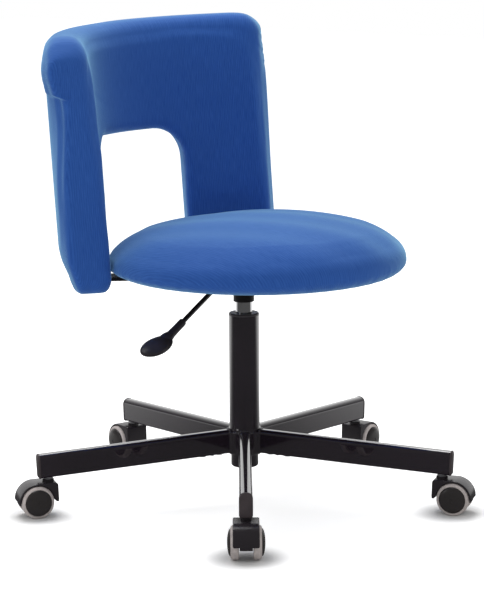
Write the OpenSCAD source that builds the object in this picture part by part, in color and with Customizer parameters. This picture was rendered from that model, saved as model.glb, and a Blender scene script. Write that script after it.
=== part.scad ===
// Swivel office chair: a round seat with a barrel back, on a gas column and a five-arm base with casters.
// Z is up from the floor, the column stands on the Z axis, and the front of the seat points to -Y.

/* [Base] */
// Radius from the column axis to the tip of an arm
base_radius = 350; // [320:5:380]
// Turn of the arms about the column
arm_turn = 2.2; // [0:0.1:71]
// Height of an arm's tube
arm_height = 39; // [34:1:44]
// Width of an arm's tube
arm_width = 20; // [19:0.5:24]
// Wall of an arm's tube
arm_wall = 1.8; // [1.2:0.1:2]
// Radius of an arm's upper edges
arm_top_edge = 8; // [5:0.5:9]
// Radius of an arm's lower edges
arm_low_edge = 4; // [2.5:0.5:6]
// Rise of an arm from its tip to the hub
arm_rise = 14.6; // [8:0.2:24]
// Thickness of an end cap's head
cap_thickness = 3; // [2:0.5:5]
// How far an end cap's head stands out round the tube
cap_overhang = 0.7; // [0.3:0.1:1.5]
// Length of an end cap's tongue inside the tube
cap_tongue = 4; // [2:0.5:5]
// Diameter of the hub
hub_diameter = 53; // [52:0.5:60]
// How far the hub stands above and below the arms
hub_lip = 3; // [1:0.5:6]

/* [Column] */
// Diameter of the column tube
column_diameter = 50; // [46:0.5:51]
// Diameter of the column tube's foot, below its taper
column_foot_diameter = 45; // [42:0.5:45.5]
// Wall of the column tube
column_wall = 2; // [1.5:0.1:2.4]
// Length of the column tube with the lip of its bush
column_length = 258; // [250:1:300]
// How far the column's foot hangs below the hub
column_foot = 21.6; // [15:0.2:30]
// Height of the bush's lip
bush_lip = 4; // [2:0.5:6]
// Length of the bush inside the column tube
bush_length = 78; // [50:1:90]
// Diameter of the chrome gas cylinder
cylinder_diameter = 28; // [26:0.5:29]
// Wall of the gas cylinder
cylinder_wall = 1.5; // [1.2:0.1:2]
// Height of the gas cylinder's lower end above the column's foot
cylinder_start = 46; // [40:1:60]
// Length of the gas cylinder that shows between the column and the seat socket
cylinder_shown = 19; // [14:1:24]
// Length of the gas cylinder's taper inside the seat socket
cylinder_grip = 21; // [16:1:22]
// How much narrower the taper is at its top
cylinder_taper = 1.4; // [0.6:0.1:2]
// Diameter of the piston rod
rod_diameter = 10; // [8:0.5:11]
// Travel of the seat upwards from rest
lift_up = 108; // [60:1:115]
// Travel of the seat downwards from rest
lift_down = 12; // [4:1:13]

/* [Seat] */
// Diameter of the seat cushion
seat_diameter = 480; // [460:5:490]
// Distance of the seat's centre in front of the column
seat_forward = 28; // [10:1:40]
// Height of the seat's rim above its underside
seat_rim_rise = 19; // [16:1:26]
// Height of the seat's crown above its rim
seat_crown = 76; // [56:1:90]
// Diameter of the seat board
board_diameter = 380; // [360:5:420]
// Thickness of the seat board
board_thickness = 12; // [9:1:15]
// Width of the mounting plate
plate_width = 170; // [160:2:176]
// Thickness of the mounting plate
plate_thickness = 3; // [2.5:0.5:4]
// Distance of the seat bolts from the column, along each side
seat_bolt_offset = 70; // [64:1:72]

/* [Mechanism] */
// Outer diameter of the socket that takes the gas cylinder
socket_diameter = 34; // [33:0.5:40]
// Length of the socket below the mechanism housing
socket_neck = 18; // [15:1:20]
// Depth of the mechanism housing
housing_depth = 28; // [26:1:33]
// Length of the mechanism housing from side to side of the seat
housing_length = 90; // [86:2:110]
// Width of the mechanism housing from front to back of the seat
housing_width = 56; // [50:2:70]
// Wall of the mechanism housing
housing_wall = 2.5; // [2:0.5:3]

/* [Lever] */
// Diameter of the lever's rod
lever_diameter = 8; // [6:0.5:9]
// Distance of the lever's pivot from the column axis
pivot_offset = 32; // [28:1:34]
// Diameter of the lever's pivot pin
pivot_diameter = 6; // [5:0.5:7]
// Outer diameter of the lever's eye
eye_diameter = 12; // [11:0.5:13]
// Length of the lever's level run from its pivot to its bend
lever_run = 41; // [36:1:50]
// Angle of the lever's bend
lever_bend = 27; // [10:1:35]
// Radius of the lever's bend
lever_bend_radius = 22; // [12:1:30]
// Length of the lever's rod after its bend
lever_reach = 126; // [110:1:140]
// Length of the handle's paddle
paddle_length = 68; // [50:1:80]
// Width of the handle's paddle
paddle_width = 36; // [28:1:42]
// Thickness of the handle's paddle
paddle_thickness = 11; // [8:0.5:14]
// Roll of the paddle, its front edge down
paddle_roll = 16; // [0:2:30]
// Outer diameter of the handle's sleeve
sleeve_diameter = 13; // [12:0.5:15]
// Length of the handle's sleeve
sleeve_length = 44; // [36:1:48]

/* [Back] */
// Radius of the back's inner face about the seat's centre
back_radius = 251; // [248:1:270]
// Thickness of the back
back_thickness = 64; // [58:1:76]
// Height of the back's top above the floor side of the seat
back_rise = 398; // [360:2:440]
// How far the back's legs reach below the seat's underside
leg_drop = 18; // [12:1:26]
// Half of the angle that the back wraps round the seat
back_half_angle = 58.5; // [54:0.5:64]
// Lean of the back from upright
recline = 4.5; // [0:0.5:9]
// Radius of the back's rounded edges
back_edge = 26; // [16:1:28]
// Radius of the edges round the ends of the back
back_end_edge = 14; // [8:1:15]
// Height of the opening's top edge above the seat's underside
opening_rise = 216; // [190:2:250]
// Half of the opening's width at the inner face
opening_half_in = 109; // [95:1:118]
// Half of the opening's width at the outer face
opening_half_out = 152; // [130:1:158]
// Radius of the opening's corners at the outer face
opening_corner = 40; // [25:1:50]
// Thickness of the board inside the back
shell_thickness = 12; // [9:1:14]
// Cover of foam between the inner board's edges and the back's edges
shell_cover = 24; // [20:1:28]
// Width of a back bracket
bracket_width = 46; // [40:1:50]
// Thickness of a back bracket
bracket_thickness = 5; // [4:0.5:6]
// Height of a back bracket's upright
bracket_height = 80; // [70:1:100]

/* [Casters] */
// Diameter of a wheel
wheel_diameter = 53; // [48:1:60]
// Width of a wheel's tread
wheel_width = 16; // [14:0.5:20]
// Diameter of a wheel's disc, which carries the tread
disc_diameter = 43; // [38:0.5:44]
// How far a wheel's disc bulges past its tread
disc_bulge = 2; // [1:0.2:4]
// Gap between the two wheels of a caster
wheel_gap = 22; // [18:0.5:24]
// Distance from the stem to the axle
caster_trail = 21.5; // [18:0.5:24]
// Distance from an arm's tip to the caster's stem
stem_inset = 16; // [14.5:0.5:24]
// Width of a hood
hood_width = 40.5; // [34:0.5:46]
// Wall of a hood
hood_wall = 2.4; // [2:0.1:4]
// Gap between a hood and the treads
hood_gap = 1.2; // [0.8:0.1:2]
// How far a hood reaches past its stem, towards the column
hood_reach = 12.5; // [11.5:0.5:20]
// How far a hood's boss stands above its arch
boss_rise = 3.5; // [3:0.5:8]
// Diameter of a hood's boss
boss_diameter = 19; // [16:0.5:20]
// Diameter of a caster's stem
stem_diameter = 10.9; // [9:0.1:11.5]
// Length of a stem inside its socket
stem_length = 26; // [20:1:30]
// Thickness of a stem's flange
flange_thickness = 2.5; // [2:0.5:4]
// Diameter of an axle
axle_diameter = 6; // [5:0.5:8]

/* [Hidden] */
$fn = 64;

// Fits
running_fit = 0.05;     // radial clearance of a turning or sliding fit
foam_gap = 0.5;         // room that the foam leaves round a bracket

// Colours
powder_black = "#2b2629";
plastic_black = "#333033";
chrome = "#d5d7d9";
steel = "#a7a9ab";
brass = "#c2a25a";
fabric_blue = "#2f559c";
plywood = "#c9a56f";
tread_grey = "#bdb8b0";

// Casters, from the floor up
axle_z = wheel_diameter / 2;
hood_inner = wheel_diameter / 2 + hood_gap;
hood_outer = hood_inner + hood_wall;
boss_top = axle_z + hood_outer + boss_rise;
hood_skirt = 0.5;        // how far a hood reaches below its axle on the trailing side
hood_corner = 4;
web_width = wheel_gap - 2;
axle_depth = wheel_width - 3;
axle_length = wheel_gap + 2 * axle_depth;
spigot_diameter = 8;
spigot_length = 17;
stem_radius = base_radius - stem_inset;

// Base
arm_count = 5;
arm_tip_z = boss_top + flange_thickness;
arm_slope = atan(arm_rise / (base_radius - hub_diameter / 2));
arm_root_z = arm_tip_z + base_radius * tan(arm_slope);
hub_bottom = arm_tip_z + arm_rise - hub_lip;
hub_top = arm_tip_z + arm_rise + arm_height + hub_lip;
hub_edge = 2;
sleeve_outer = arm_width - 2 * arm_wall;
sleeve_hole = arm_height / 2; // depth of a sleeve's hole in the arm's underside
stem_room = 1;           // gap over the end of a stem

// Column, from its foot up
column_bottom = hub_bottom - column_foot;
column_top = column_bottom + column_length;
foot_skirt = 6;          // depth of the recess under the column's floor
foot_floor = 3;          // thickness of the column's floor
foot_edge = 4;
foot_rim = column_wall + 2;
rod_room = 2;            // gap between the rod and the floor's hole
bearing_height = 6;
bearing_diameter = 30;
collar_height = 4;
collar_diameter = 17;
clip_thickness = 1.5;
clip_diameter = 18;
clip_groove = 1;
floor_z = column_bottom + foot_skirt;
bearing_z = floor_z + foot_floor;
collar_z = bearing_z + bearing_height;
cylinder_bottom = column_bottom + cylinder_start;
guide_length = 12;
piston_length = 15;
piston_margin = 5;
piston_z = cylinder_bottom + guide_length + lift_up + piston_margin;
cylinder_bore = cylinder_diameter - 2 * cylinder_wall;
socket_bottom = column_top + cylinder_shown;
cylinder_top = socket_bottom + cylinder_grip;
cylinder_head = 14;      // solid end of the gas cylinder, which holds the valve
valve_diameter = 8;
valve_proud = 5;
valve_top = cylinder_top + valve_proud;

// Mechanism and lever
housing_bottom = socket_bottom + socket_neck;
plate_bottom = housing_bottom + housing_depth;
seat_bottom = plate_bottom + plate_thickness;
lever_gap = 0.2;
lever_z = valve_top + lever_gap + lever_diameter / 2;
lever_tail = 6;          // how far the lever reaches past the valve
lever_slot = 16;
eye_length = 22;
paddle_drop = 12;        // slope of the paddle in degrees
bend_swell = 0.4;        // how much thicker the rod is round its bend
sleeve_overlap = 6;      // how far the sleeve reaches into the paddle
bolt_diameter = 6;
bolt_head = 11;
bolt_head_height = 4;

// Seat and back
seat_rim_z = seat_bottom + seat_rim_rise;
seat_top = seat_rim_z + seat_crown;
profile_steps = 12;
crown_edge = 1.1;        // above 1: a sharper rim; below 1: a rounder rim
crown_fill = 0.8;        // below 1: a flatter crown
back_top = seat_bottom + back_rise;
leg_bottom = seat_bottom - leg_drop;
opening_top = seat_bottom + opening_rise;
back_outer = back_radius + back_thickness;
shell_inner = back_radius + (back_thickness - shell_thickness) / 2;
shell_outer = shell_inner + shell_thickness;
grid_step = back_half_angle / 16;
bracket_column = 11.5;   // grid columns from the middle of the back to a bracket's centre line
bracket_angle = bracket_column * grid_step;
bracket_bottom = seat_bottom - bracket_thickness;
bracket_lap = 38;         // how far a bracket's foot reaches under the seat board
bracket_start = board_diameter / 2 - bracket_lap;
bracket_tuck = 3;         // how far a bracket's foot stops short of the back's board
foot_bolt = 12;           // from the end of a bracket's foot to its first bolt
foot_bolt_step = 16;      // from a bracket's first bolt to its second
upright_bolt = 32;        // height of the lower bolt on a bracket's upright
upright_bolt_step = 30;   // from the lower bolt to the upper one
bracket_face = (shell_inner - bracket_thickness) * cos(grid_step / 2);
bracket_lean = atan(tan(recline) * cos(bracket_angle));

function arm_angle(k) = arm_turn + 360 / arm_count * (k - 1);

// A quarter turn of points round c, from angle a
function quarter(c, r, a, steps) = [for (i = [0:steps]) c + r * [cos(a + 90 * i / steps), sin(a + 90 * i / steps)]];

// ---- Placing ----

// Along arm k, with the arm's underside at z = 0 and its length on +X
module on_arm(k) {
    rotate([0, 0, arm_angle(k)]) translate([0, 0, arm_root_z]) rotate([0, arm_slope, 0]) children();
}

// At the stem of caster k, with the trail on +X and the floor at z = 0
module at_caster(k) {
    rotate([0, 0, arm_angle(k)]) translate([stem_radius, 0, 0]) children();
}

// At the axle of caster k, turned so that +Z runs along the axle
module at_axle(k) {
    at_caster(k) translate([caster_trail, 0, axle_z]) rotate([-90, 0, 0]) children();
}

module for_arms() {
    for (k = [1:arm_count]) on_arm(k) children();
}

// At the seat's centre, with the back's direction phi on +Y
module about_seat(phi = 0) {
    translate([0, -seat_forward, 0]) rotate([0, 0, -phi]) children();
}

module on_seat_bolts() {
    for (x = [-1, 1], y = [-1, 1]) translate([x * seat_bolt_offset, y * seat_bolt_offset, 0]) children();
}

// ---- Base ----

module arm_section(inset) {
    half = arm_width / 2 - inset;
    low = arm_low_edge - inset / 2;
    high = arm_top_edge - inset / 2;
    top = arm_height - inset;
    translate([-half, inset + low]) square([2 * half, top - high - inset - low]);
    translate([-half + low, inset]) square([2 * (half - low), low]);
    translate([-half + high, top - high]) square([2 * (half - high), high]);
    for (x = [-1, 1]) {
        translate([x * (half - low), inset + low]) circle(low);
        translate([x * (half - high), top - high]) circle(high);
    }
}

module along_x(from, to) {
    translate([from, 0, 0]) rotate([90, 0, 90]) linear_extrude(to - from) children();
}

arm_tip = base_radius / cos(arm_slope);

module base_arms() color(powder_black) for (k = [1:arm_count]) difference() {
    on_arm(k) along_x(0, arm_tip - cap_thickness) arm_section(0);
    on_arm(k) along_x(-1, arm_tip) arm_section(arm_wall);
    translate([0, 0, hub_bottom - arm_height]) cylinder(d = hub_diameter, h = 3 * arm_height);
    at_caster(k) cylinder(d = sleeve_outer, h = arm_tip_z + sleeve_hole);
}

module arm_end_caps() color(plastic_black) for_arms() {
    along_x(arm_tip - cap_thickness, arm_tip) arm_section(-cap_overhang);
    along_x(arm_tip - cap_thickness - cap_tongue, arm_tip - cap_thickness) arm_section(arm_wall);
}

// Sleeves inside the arms' tips, from the flanges of the stems up to the tubes' upper walls
module caster_sockets() color(steel) for (k = [1:arm_count]) difference() {
    union() {
        at_caster(k) translate([0, 0, arm_tip_z]) cylinder(d = sleeve_outer, h = sleeve_hole);
        intersection() {
            at_caster(k) translate([0, 0, arm_tip_z]) cylinder(d = sleeve_outer, h = arm_height);
            on_arm(k) along_x(arm_tip / 2, arm_tip - cap_thickness - cap_tongue) arm_section(arm_wall);
        }
    }
    at_caster(k) cylinder(d = stem_diameter + 2 * running_fit, h = arm_tip_z + stem_length + stem_room);
}

function column_radius_at(z) = column_foot_diameter / 2
    + (column_diameter - column_foot_diameter) / 2 * min(max((z - hub_bottom) / (hub_top - hub_bottom), 0), 1);

module base_hub() color(powder_black) rotate_extrude() polygon([
    [column_radius_at(hub_bottom), hub_bottom], [hub_diameter / 2 - hub_edge, hub_bottom],
    [hub_diameter / 2, hub_bottom + hub_edge], [hub_diameter / 2, hub_top - hub_edge],
    [hub_diameter / 2 - hub_edge / 2, hub_top], [column_radius_at(hub_top), hub_top]]);

// ---- Column and gas lift ----

module column_tube() color(powder_black) rotate_extrude() polygon(concat(
    [[rod_diameter / 2 + rod_room, floor_z], [column_foot_diameter / 2 - foot_rim, floor_z],
     [column_foot_diameter / 2 - foot_rim, column_bottom]],
    quarter([column_foot_diameter / 2 - foot_edge, column_bottom + foot_edge], foot_edge, -90, 5),
    [[column_radius_at(hub_bottom), hub_bottom], [column_diameter / 2, hub_top],
     [column_diameter / 2, column_top - bush_lip], [column_diameter / 2 - column_wall, column_top - bush_lip],
     [column_diameter / 2 - column_wall, hub_top],
     [column_foot_diameter / 2 - column_wall, hub_bottom], [column_foot_diameter / 2 - column_wall, bearing_z],
     [rod_diameter / 2 + rod_room, bearing_z]]));

module column_bush() color(plastic_black) rotate_extrude() {
    r = cylinder_diameter / 2 + running_fit;
    polygon([[r, column_top - bush_lip - bush_length], [column_diameter / 2 - column_wall, column_top - bush_lip - bush_length],
        [column_diameter / 2 - column_wall, column_top - bush_lip], [column_diameter / 2, column_top - bush_lip],
        [column_diameter / 2, column_top - 1.5], [column_diameter / 2 - 1.5, column_top],
        [r + 1, column_top], [r, column_top - 1]]);
}

module thrust_bearing() color(steel) translate([0, 0, bearing_z]) difference() {
    cylinder(d = bearing_diameter, h = bearing_height);
    translate([0, 0, -1]) cylinder(d = rod_diameter + 2 * running_fit, h = bearing_height + 2);
    translate([0, 0, bearing_height / 2]) rotate_extrude() translate([bearing_diameter / 2, 0]) circle(d = bearing_height / 2);
}

module piston_rod() color(chrome) {
    rod_end = floor_z - clip_thickness - 1;
    difference() {
        union() {
            translate([0, 0, rod_end]) cylinder(d = rod_diameter, h = piston_z + 1 - rod_end);
            translate([0, 0, collar_z]) cylinder(d = collar_diameter, h = collar_height);
            translate([0, 0, piston_z]) cylinder(d = cylinder_bore - 2 * running_fit, h = piston_length);
        }
        translate([0, 0, floor_z - clip_thickness]) difference() {
            cylinder(d = rod_diameter + 2, h = clip_thickness);
            cylinder(d = rod_diameter - 2 * clip_groove, h = clip_thickness);
        }
        translate([0, 0, piston_z + piston_length / 2]) difference() {
            cylinder(d = cylinder_bore, h = 3);
            cylinder(d = cylinder_bore - 4, h = 3);
        }
    }
}

// An open ring that snaps into the rod's groove, under the column's floor
module retaining_clip() color(steel) translate([0, 0, floor_z - clip_thickness]) difference() {
    cylinder(d = clip_diameter, h = clip_thickness);
    translate([0, 0, -1]) cylinder(d = rod_diameter - 2 * clip_groove, h = clip_thickness + 2);
    translate([0, -rod_diameter / 4, -1]) cube([clip_diameter, rod_diameter / 2, clip_thickness + 2]);
}

function taper_radius_at(z) = cylinder_diameter / 2
    - cylinder_taper / 2 * min(max((z - socket_bottom) / cylinder_grip, 0), 1);

module gas_cylinder() color(chrome) rotate_extrude() polygon([
    [cylinder_bore / 2, cylinder_bottom], [cylinder_diameter / 2, cylinder_bottom],
    [cylinder_diameter / 2, socket_bottom], [taper_radius_at(cylinder_top), cylinder_top],
    [valve_diameter / 2 + running_fit, cylinder_top], [valve_diameter / 2 + running_fit, cylinder_top - cylinder_head],
    [cylinder_bore / 2, cylinder_top - cylinder_head]]);

module cylinder_rod_guide() color(plastic_black) translate([0, 0, cylinder_bottom]) difference() {
    cylinder(d = cylinder_bore, h = guide_length);
    translate([0, 0, -1]) cylinder(d = rod_diameter + 2 * running_fit, h = guide_length + 2);
}

module valve_button() color(brass) translate([0, 0, cylinder_top - cylinder_head + 4]) {
    cylinder(d = valve_diameter, h = valve_top - 1 - (cylinder_top - cylinder_head + 4));
    cylinder(d = valve_diameter - 2, h = valve_top - (cylinder_top - cylinder_head + 4));
}

// ---- Mechanism and lever ----

module mechanism_housing() color(powder_black) {
    difference() {
        translate([0, 0, housing_bottom + housing_depth / 2])
            cube([housing_length, housing_width, housing_depth], center = true);
        translate([0, 0, housing_bottom + housing_wall + housing_depth / 2])
            cube([housing_length - 2 * housing_wall, housing_width - 2 * housing_wall, housing_depth], center = true);
        cylinder(d = socket_diameter, h = 2 * housing_bottom);
        translate([-pivot_offset, 0, lever_z]) rotate([90, 0, 0])
            cylinder(d = pivot_diameter, h = 2 * housing_width, center = true);
        translate([-housing_length, -lever_slot / 2, lever_z - lever_diameter])
            cube([housing_length, lever_slot, 2 * lever_diameter]);
    }
    rotate_extrude() polygon([
        [cylinder_diameter / 2, socket_bottom], [socket_diameter / 2, socket_bottom],
        [socket_diameter / 2, cylinder_top], [taper_radius_at(cylinder_top), cylinder_top]]);
}

module mechanism_plate() color(powder_black) translate([0, 0, plate_bottom]) difference() {
    translate([-plate_width / 2, -plate_width / 2, 0]) cube([plate_width, plate_width, plate_thickness]);
    on_seat_bolts() translate([0, 0, -1]) cylinder(d = bolt_diameter, h = plate_thickness + 2);
}

module lever_pivot_pin() color(steel) translate([-pivot_offset, 0, lever_z]) rotate([90, 0, 0])
    cylinder(d = pivot_diameter, h = housing_width + 4, center = true);

// At the end of the lever's bend, with +Z along the rod towards the handle
module after_bend() {
    translate([-pivot_offset - lever_run, 0, lever_z - lever_bend_radius]) rotate([0, -lever_bend, 0])
        translate([0, 0, lever_bend_radius]) rotate([0, -90, 0]) children();
}

// The rod: level past the pivot, then bent down to the handle
module lever_path() {
    translate([-pivot_offset - lever_run, 0, lever_z]) rotate([0, 90, 0])
        cylinder(d = lever_diameter, h = lever_run + pivot_offset + lever_tail);
    translate([-pivot_offset - lever_run, 0, lever_z - lever_bend_radius]) rotate([90, 0, 0]) rotate([0, 0, 90])
        rotate_extrude(angle = lever_bend) translate([lever_bend_radius, 0]) circle(d = lever_diameter + bend_swell);
    after_bend() cylinder(d = lever_diameter, h = lever_reach);
}

module lever_rod() color(powder_black) difference() {
    union() {
        lever_path();
        translate([-pivot_offset, 0, lever_z]) rotate([90, 0, 0]) cylinder(d = eye_diameter, h = eye_length, center = true);
    }
    translate([-pivot_offset, 0, lever_z]) rotate([90, 0, 0])
        cylinder(d = pivot_diameter + 2 * running_fit, h = eye_length + 2, center = true);
}

// At the outer end of the sleeve, with the paddle's length on -X and its width on Y
module at_paddle() {
    after_bend() translate([0, 0, lever_reach - sleeve_overlap]) rotate([0, lever_bend - paddle_drop, 0])
        rotate([0, 90, 0]) rotate([paddle_roll, 0, 0]) children();
}

// The paddle's outline: a grip with round ends, narrower at the sleeve
module paddle_outline() {
    small = sleeve_diameter / 2;
    large = paddle_width / 2;
    far = paddle_length - small - large;
    lean = asin((large - small) / far);
    polygon(concat(
        [for (i = [-5:5]) let (a = i * (90 - lean) / 5) [small * cos(a), small * sin(a)]],
        [for (i = [-8:8]) let (a = 180 + i * (90 + lean) / 8) [-far + large * cos(a), large * sin(a)]]));
}

module lever_handle() color(plastic_black) difference() {
    union() {
        after_bend() translate([0, 0, lever_reach - sleeve_length]) cylinder(d = sleeve_diameter, h = sleeve_length);
        at_paddle() linear_extrude(paddle_thickness, center = true) paddle_outline();
    }
    after_bend() cylinder(d = lever_diameter, h = lever_reach);
}

// ---- Seat ----

module seat_board() color(plywood) difference() {
    about_seat() translate([0, 0, seat_bottom]) cylinder(d = board_diameter, h = board_thickness, $fn = 96);
    on_seat_bolts() translate([0, 0, seat_bottom - 1]) cylinder(d = bolt_diameter, h = board_thickness);
    on_bracket_feet() translate([0, 0, seat_bottom - 1]) cylinder(d = bolt_diameter, h = board_thickness);
}

module bolt(grip) {
    translate([0, 0, -bolt_head_height]) cylinder(d = bolt_head, h = bolt_head_height);
    cylinder(d = bolt_diameter, h = grip);
}

module seat_bolts() color(steel) on_seat_bolts() translate([0, 0, plate_bottom]) bolt(plate_thickness + board_thickness - 2);

// Half of the seat's section: flat under the board, round at the rim and crowned on top
module seat_section() {
    rim = seat_diameter / 2;
    flat = board_diameter / 2;
    low = [for (i = [0:profile_steps]) let (a = 90 * i / profile_steps)
        [flat + (rim - flat) * sin(a), seat_rim_z - seat_rim_rise * cos(a)]];
    high = [for (i = [1:profile_steps]) let (a = 90 * i / profile_steps)
        [rim * pow(cos(a), crown_edge), seat_rim_z + seat_crown * pow(sin(a), crown_fill)]];
    polygon(concat([[0, seat_bottom + board_thickness], [flat, seat_bottom + board_thickness]], low, high));
}

module seat_cushion() color(fabric_blue) about_seat() rotate_extrude($fn = 96) seat_section();

// ---- Back ----

// A place in the back: its angle round the seat, its radius and its height, moved back by the recline
function back_place(phi, r, z) = [r * sin(phi), -seat_forward + r * cos(phi) + (z - seat_rim_z) * tan(recline), z];

// A section across the back, from its inner to its outer radius, with round edges
function back_section(r0, r1, z0, z1, edge, steps) = concat(
    quarter([r1 - edge, z0 + edge], edge, -90, steps), quarter([r1 - edge, z1 - edge], edge, 0, steps),
    quarter([r0 + edge, z1 - edge], edge, 90, steps), quarter([r0 + edge, z0 + edge], edge, 180, steps));

// A body swept through sections [angle, inset], each closed, from the first to the last
module back_sweep(columns, r0, r1, z0, z1, edge, steps) {
    size = 4 * (steps + 1);
    last = len(columns) - 1;
    points = [for (c = columns) for (p = back_section(r0 + c[1], r1 - c[1], z0 + c[1], z1 - c[1],
        max(edge - c[1], 0.4), steps)) back_place(c[0], p[0], p[1])];
    sides = [for (i = [0:last - 1], j = [0:size - 1]) let (k = (j + 1) % size)
        [i * size + j, (i + 1) * size + j, (i + 1) * size + k, i * size + k]];
    start = [[for (j = [0:size - 1]) j]];
    end = [[for (j = [size - 1:-1:0]) last * size + j]];
    polyhedron(points = points, faces = concat(start, sides, end), convexity = 4);
}

// Sections of the cushion: rounded off towards both ends of the back
function cushion_columns() =
    let (steps = 4, mid = back_radius + back_thickness / 2,
         ends = [for (i = [0:steps]) let (a = 90 * i / steps)
             [back_end_edge * (1 - cos(a)) / mid * 180 / PI, back_end_edge * (1 - sin(a))]])
    concat([for (e = ends) [-back_half_angle + e[0], e[1]]],
           [for (i = [-14:14]) [i * grid_step, 0]],
           [for (i = [steps:-1:0]) [back_half_angle - ends[i][0], ends[i][1]]]);

// The opening's outline with its rounded upper corners, half wide and up to top
function opening_outline(half, top) = concat([[half, 0]],
    quarter([half - opening_corner, top - opening_corner], opening_corner, 0, 8),
    quarter([-half + opening_corner, top - opening_corner], opening_corner, 90, 8), [[-half, 0]]);

// The opening under the back's bridge, wider at the outer face, grown on all its sides by grow
module back_opening(grow) {
    near = back_radius * cos(back_half_angle / 2);
    far = back_outer + back_radius;
    flare = (opening_half_out - opening_half_in) / back_thickness;
    half_near = opening_half_in + flare * (near - sqrt(pow(back_radius, 2) - pow(opening_half_in, 2))) + grow;
    half_far = half_near + flare * (far - near);
    inner = opening_outline(half_near, opening_top + grow);
    outer = opening_outline(half_far, opening_top + grow);
    size = len(inner);
    polyhedron(
        points = concat([for (p = inner) [p[0], near - seat_forward, p[1]]],
                        [for (p = outer) [p[0], far - seat_forward, p[1]]]),
        faces = concat([[for (j = [size - 1:-1:0]) j]], [[for (j = [0:size - 1]) size + j]],
                       [for (j = [0:size - 1]) let (k = (j + 1) % size) [j, k, size + k, size + j]]));
}

module shell_body() difference() {
    back_sweep([for (i = [-15:15]) [i * grid_step, 0]], shell_inner, shell_outer,
        leg_bottom + shell_cover / 2, back_top - shell_cover, 1, 1);
    back_opening(shell_cover);
}

// A bracket's foot under the seat board and its upright on the back's board
module bracket_body(side, gap) {
    about_seat(side * bracket_angle) translate([-bracket_width / 2 - gap, bracket_start, bracket_bottom - gap])
        cube([bracket_width + 2 * gap, shell_inner - bracket_tuck - bracket_start, bracket_thickness + 2 * gap]);
    back_sweep([for (i = [-1.5:1.5]) [(side * bracket_column + i) * grid_step + i * gap / 50, 0]],
        shell_inner - bracket_thickness - gap, shell_inner + min(gap, 0.25), bracket_bottom - gap,
        bracket_bottom + bracket_height + gap, 0.4, 1);
}

module on_bracket_feet() {
    for (side = [-1, 1], i = [0, 1]) about_seat(side * bracket_angle)
        translate([0, bracket_start + foot_bolt + i * foot_bolt_step, 0]) children();
}

// Bolts through the uprights, heads on the inner side and shanks out through the back's board
module on_bracket_uprights() {
    for (side = [-1, 1], i = [0, 1]) let (z = bracket_bottom + upright_bolt + i * upright_bolt_step)
        translate([0, (z - seat_rim_z) * tan(recline), z]) about_seat(side * bracket_angle)
            translate([0, bracket_face, 0]) rotate([-90 - bracket_lean, 0, 0]) children();
}

module bracket(side) color(powder_black) difference() {
    bracket_body(side, 0);
    on_bracket_feet() cylinder(d = bolt_diameter, h = seat_top);
    on_bracket_uprights() cylinder(d = bolt_diameter, h = 4 * bracket_thickness, center = true);
}

module back_bracket_right() bracket(-1);
module back_bracket_left() bracket(1);

module bracket_bolts() color(steel) {
    on_bracket_feet() translate([0, 0, bracket_bottom]) bolt(bracket_thickness + board_thickness - 2);
    on_bracket_uprights() bolt(bracket_thickness + shell_thickness - 2);
}

module back_shell() color(plywood) difference() {
    shell_body();
    on_bracket_uprights() cylinder(d = bolt_diameter, h = bracket_thickness + shell_thickness - 2);
}

module back_cushion() color(fabric_blue) difference() {
    back_sweep(cushion_columns(), back_radius, back_outer, leg_bottom, back_top, back_edge, 5);
    back_opening(0);
    shell_body();
    for (side = [-1, 1]) bracket_body(side, foam_gap);
    on_bracket_uprights() translate([0, 0, -bolt_head_height - foam_gap])
        cylinder(d = bolt_head + 2 * foam_gap, h = bolt_head_height + bracket_thickness);
}

// ---- Casters ----

module caster_stem(k) color(steel) at_caster(k) {
    translate([0, 0, boss_top - spigot_length]) cylinder(d = spigot_diameter, h = spigot_length);
    translate([0, 0, boss_top]) cylinder(d = sleeve_outer - 1, h = flange_thickness);
    translate([0, 0, boss_top + flange_thickness]) cylinder(d = stem_diameter, h = stem_length - 2);
    translate([0, 0, boss_top + flange_thickness + stem_length - 2])
        cylinder(d1 = stem_diameter, d2 = stem_diameter - 3, h = 2);
}

// The hood's outline across the axle, with a shoulder round the stem: the trail is on +X and up is on -Y
module hood_outline() {
    far = caster_trail + hood_reach;
    circle(hood_outer);
    translate([-far, hood_corner - hood_outer]) square([far, hood_outer]);
    translate([-far + hood_corner, -hood_outer]) square([far - hood_corner, 2 * hood_corner]);
    translate([-far + hood_corner, hood_corner - hood_outer]) circle(hood_corner);
}

// The hood's arch over the treads, open below the axle and over the wheels
module hood_arch() difference() {
    hood_outline();
    circle(hood_inner);
    translate([-2 * hood_outer, 0]) square([2 * hood_outer, 2 * hood_outer]);
    translate([0, hood_skirt]) square([2 * hood_outer, 2 * hood_outer]);
}

module hood_web() {
    intersection() {
        circle(hood_inner + hood_wall / 2);
        translate([-hood_outer, -hood_outer]) square([2 * hood_outer, hood_outer + hood_skirt]);
    }
    circle(axle_diameter + 3);
}

module caster_hood(k) color(plastic_black) difference() {
    union() {
        at_axle(k) {
            linear_extrude(hood_width, center = true) hood_arch();
            linear_extrude(web_width, center = true) hood_web();
        }
        at_caster(k) translate([0, 0, axle_z]) cylinder(d = boss_diameter, h = boss_top - axle_z);
    }
    at_axle(k) cylinder(d = axle_diameter, h = 2 * hood_width, center = true);
    at_caster(k) translate([0, 0, boss_top - spigot_length]) cylinder(d = spigot_diameter, h = 2 * spigot_length);
}

module caster_axle(k) color(steel) at_axle(k) cylinder(d = axle_diameter, h = axle_length - 0.6, center = true);

// One wheel's place: its inner face at z = 0 and its outer face on +Z
module at_wheel(k, side) {
    at_axle(k) rotate([side < 0 ? 180 : 0, 0, 0]) translate([0, 0, wheel_gap / 2]) children();
}

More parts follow.
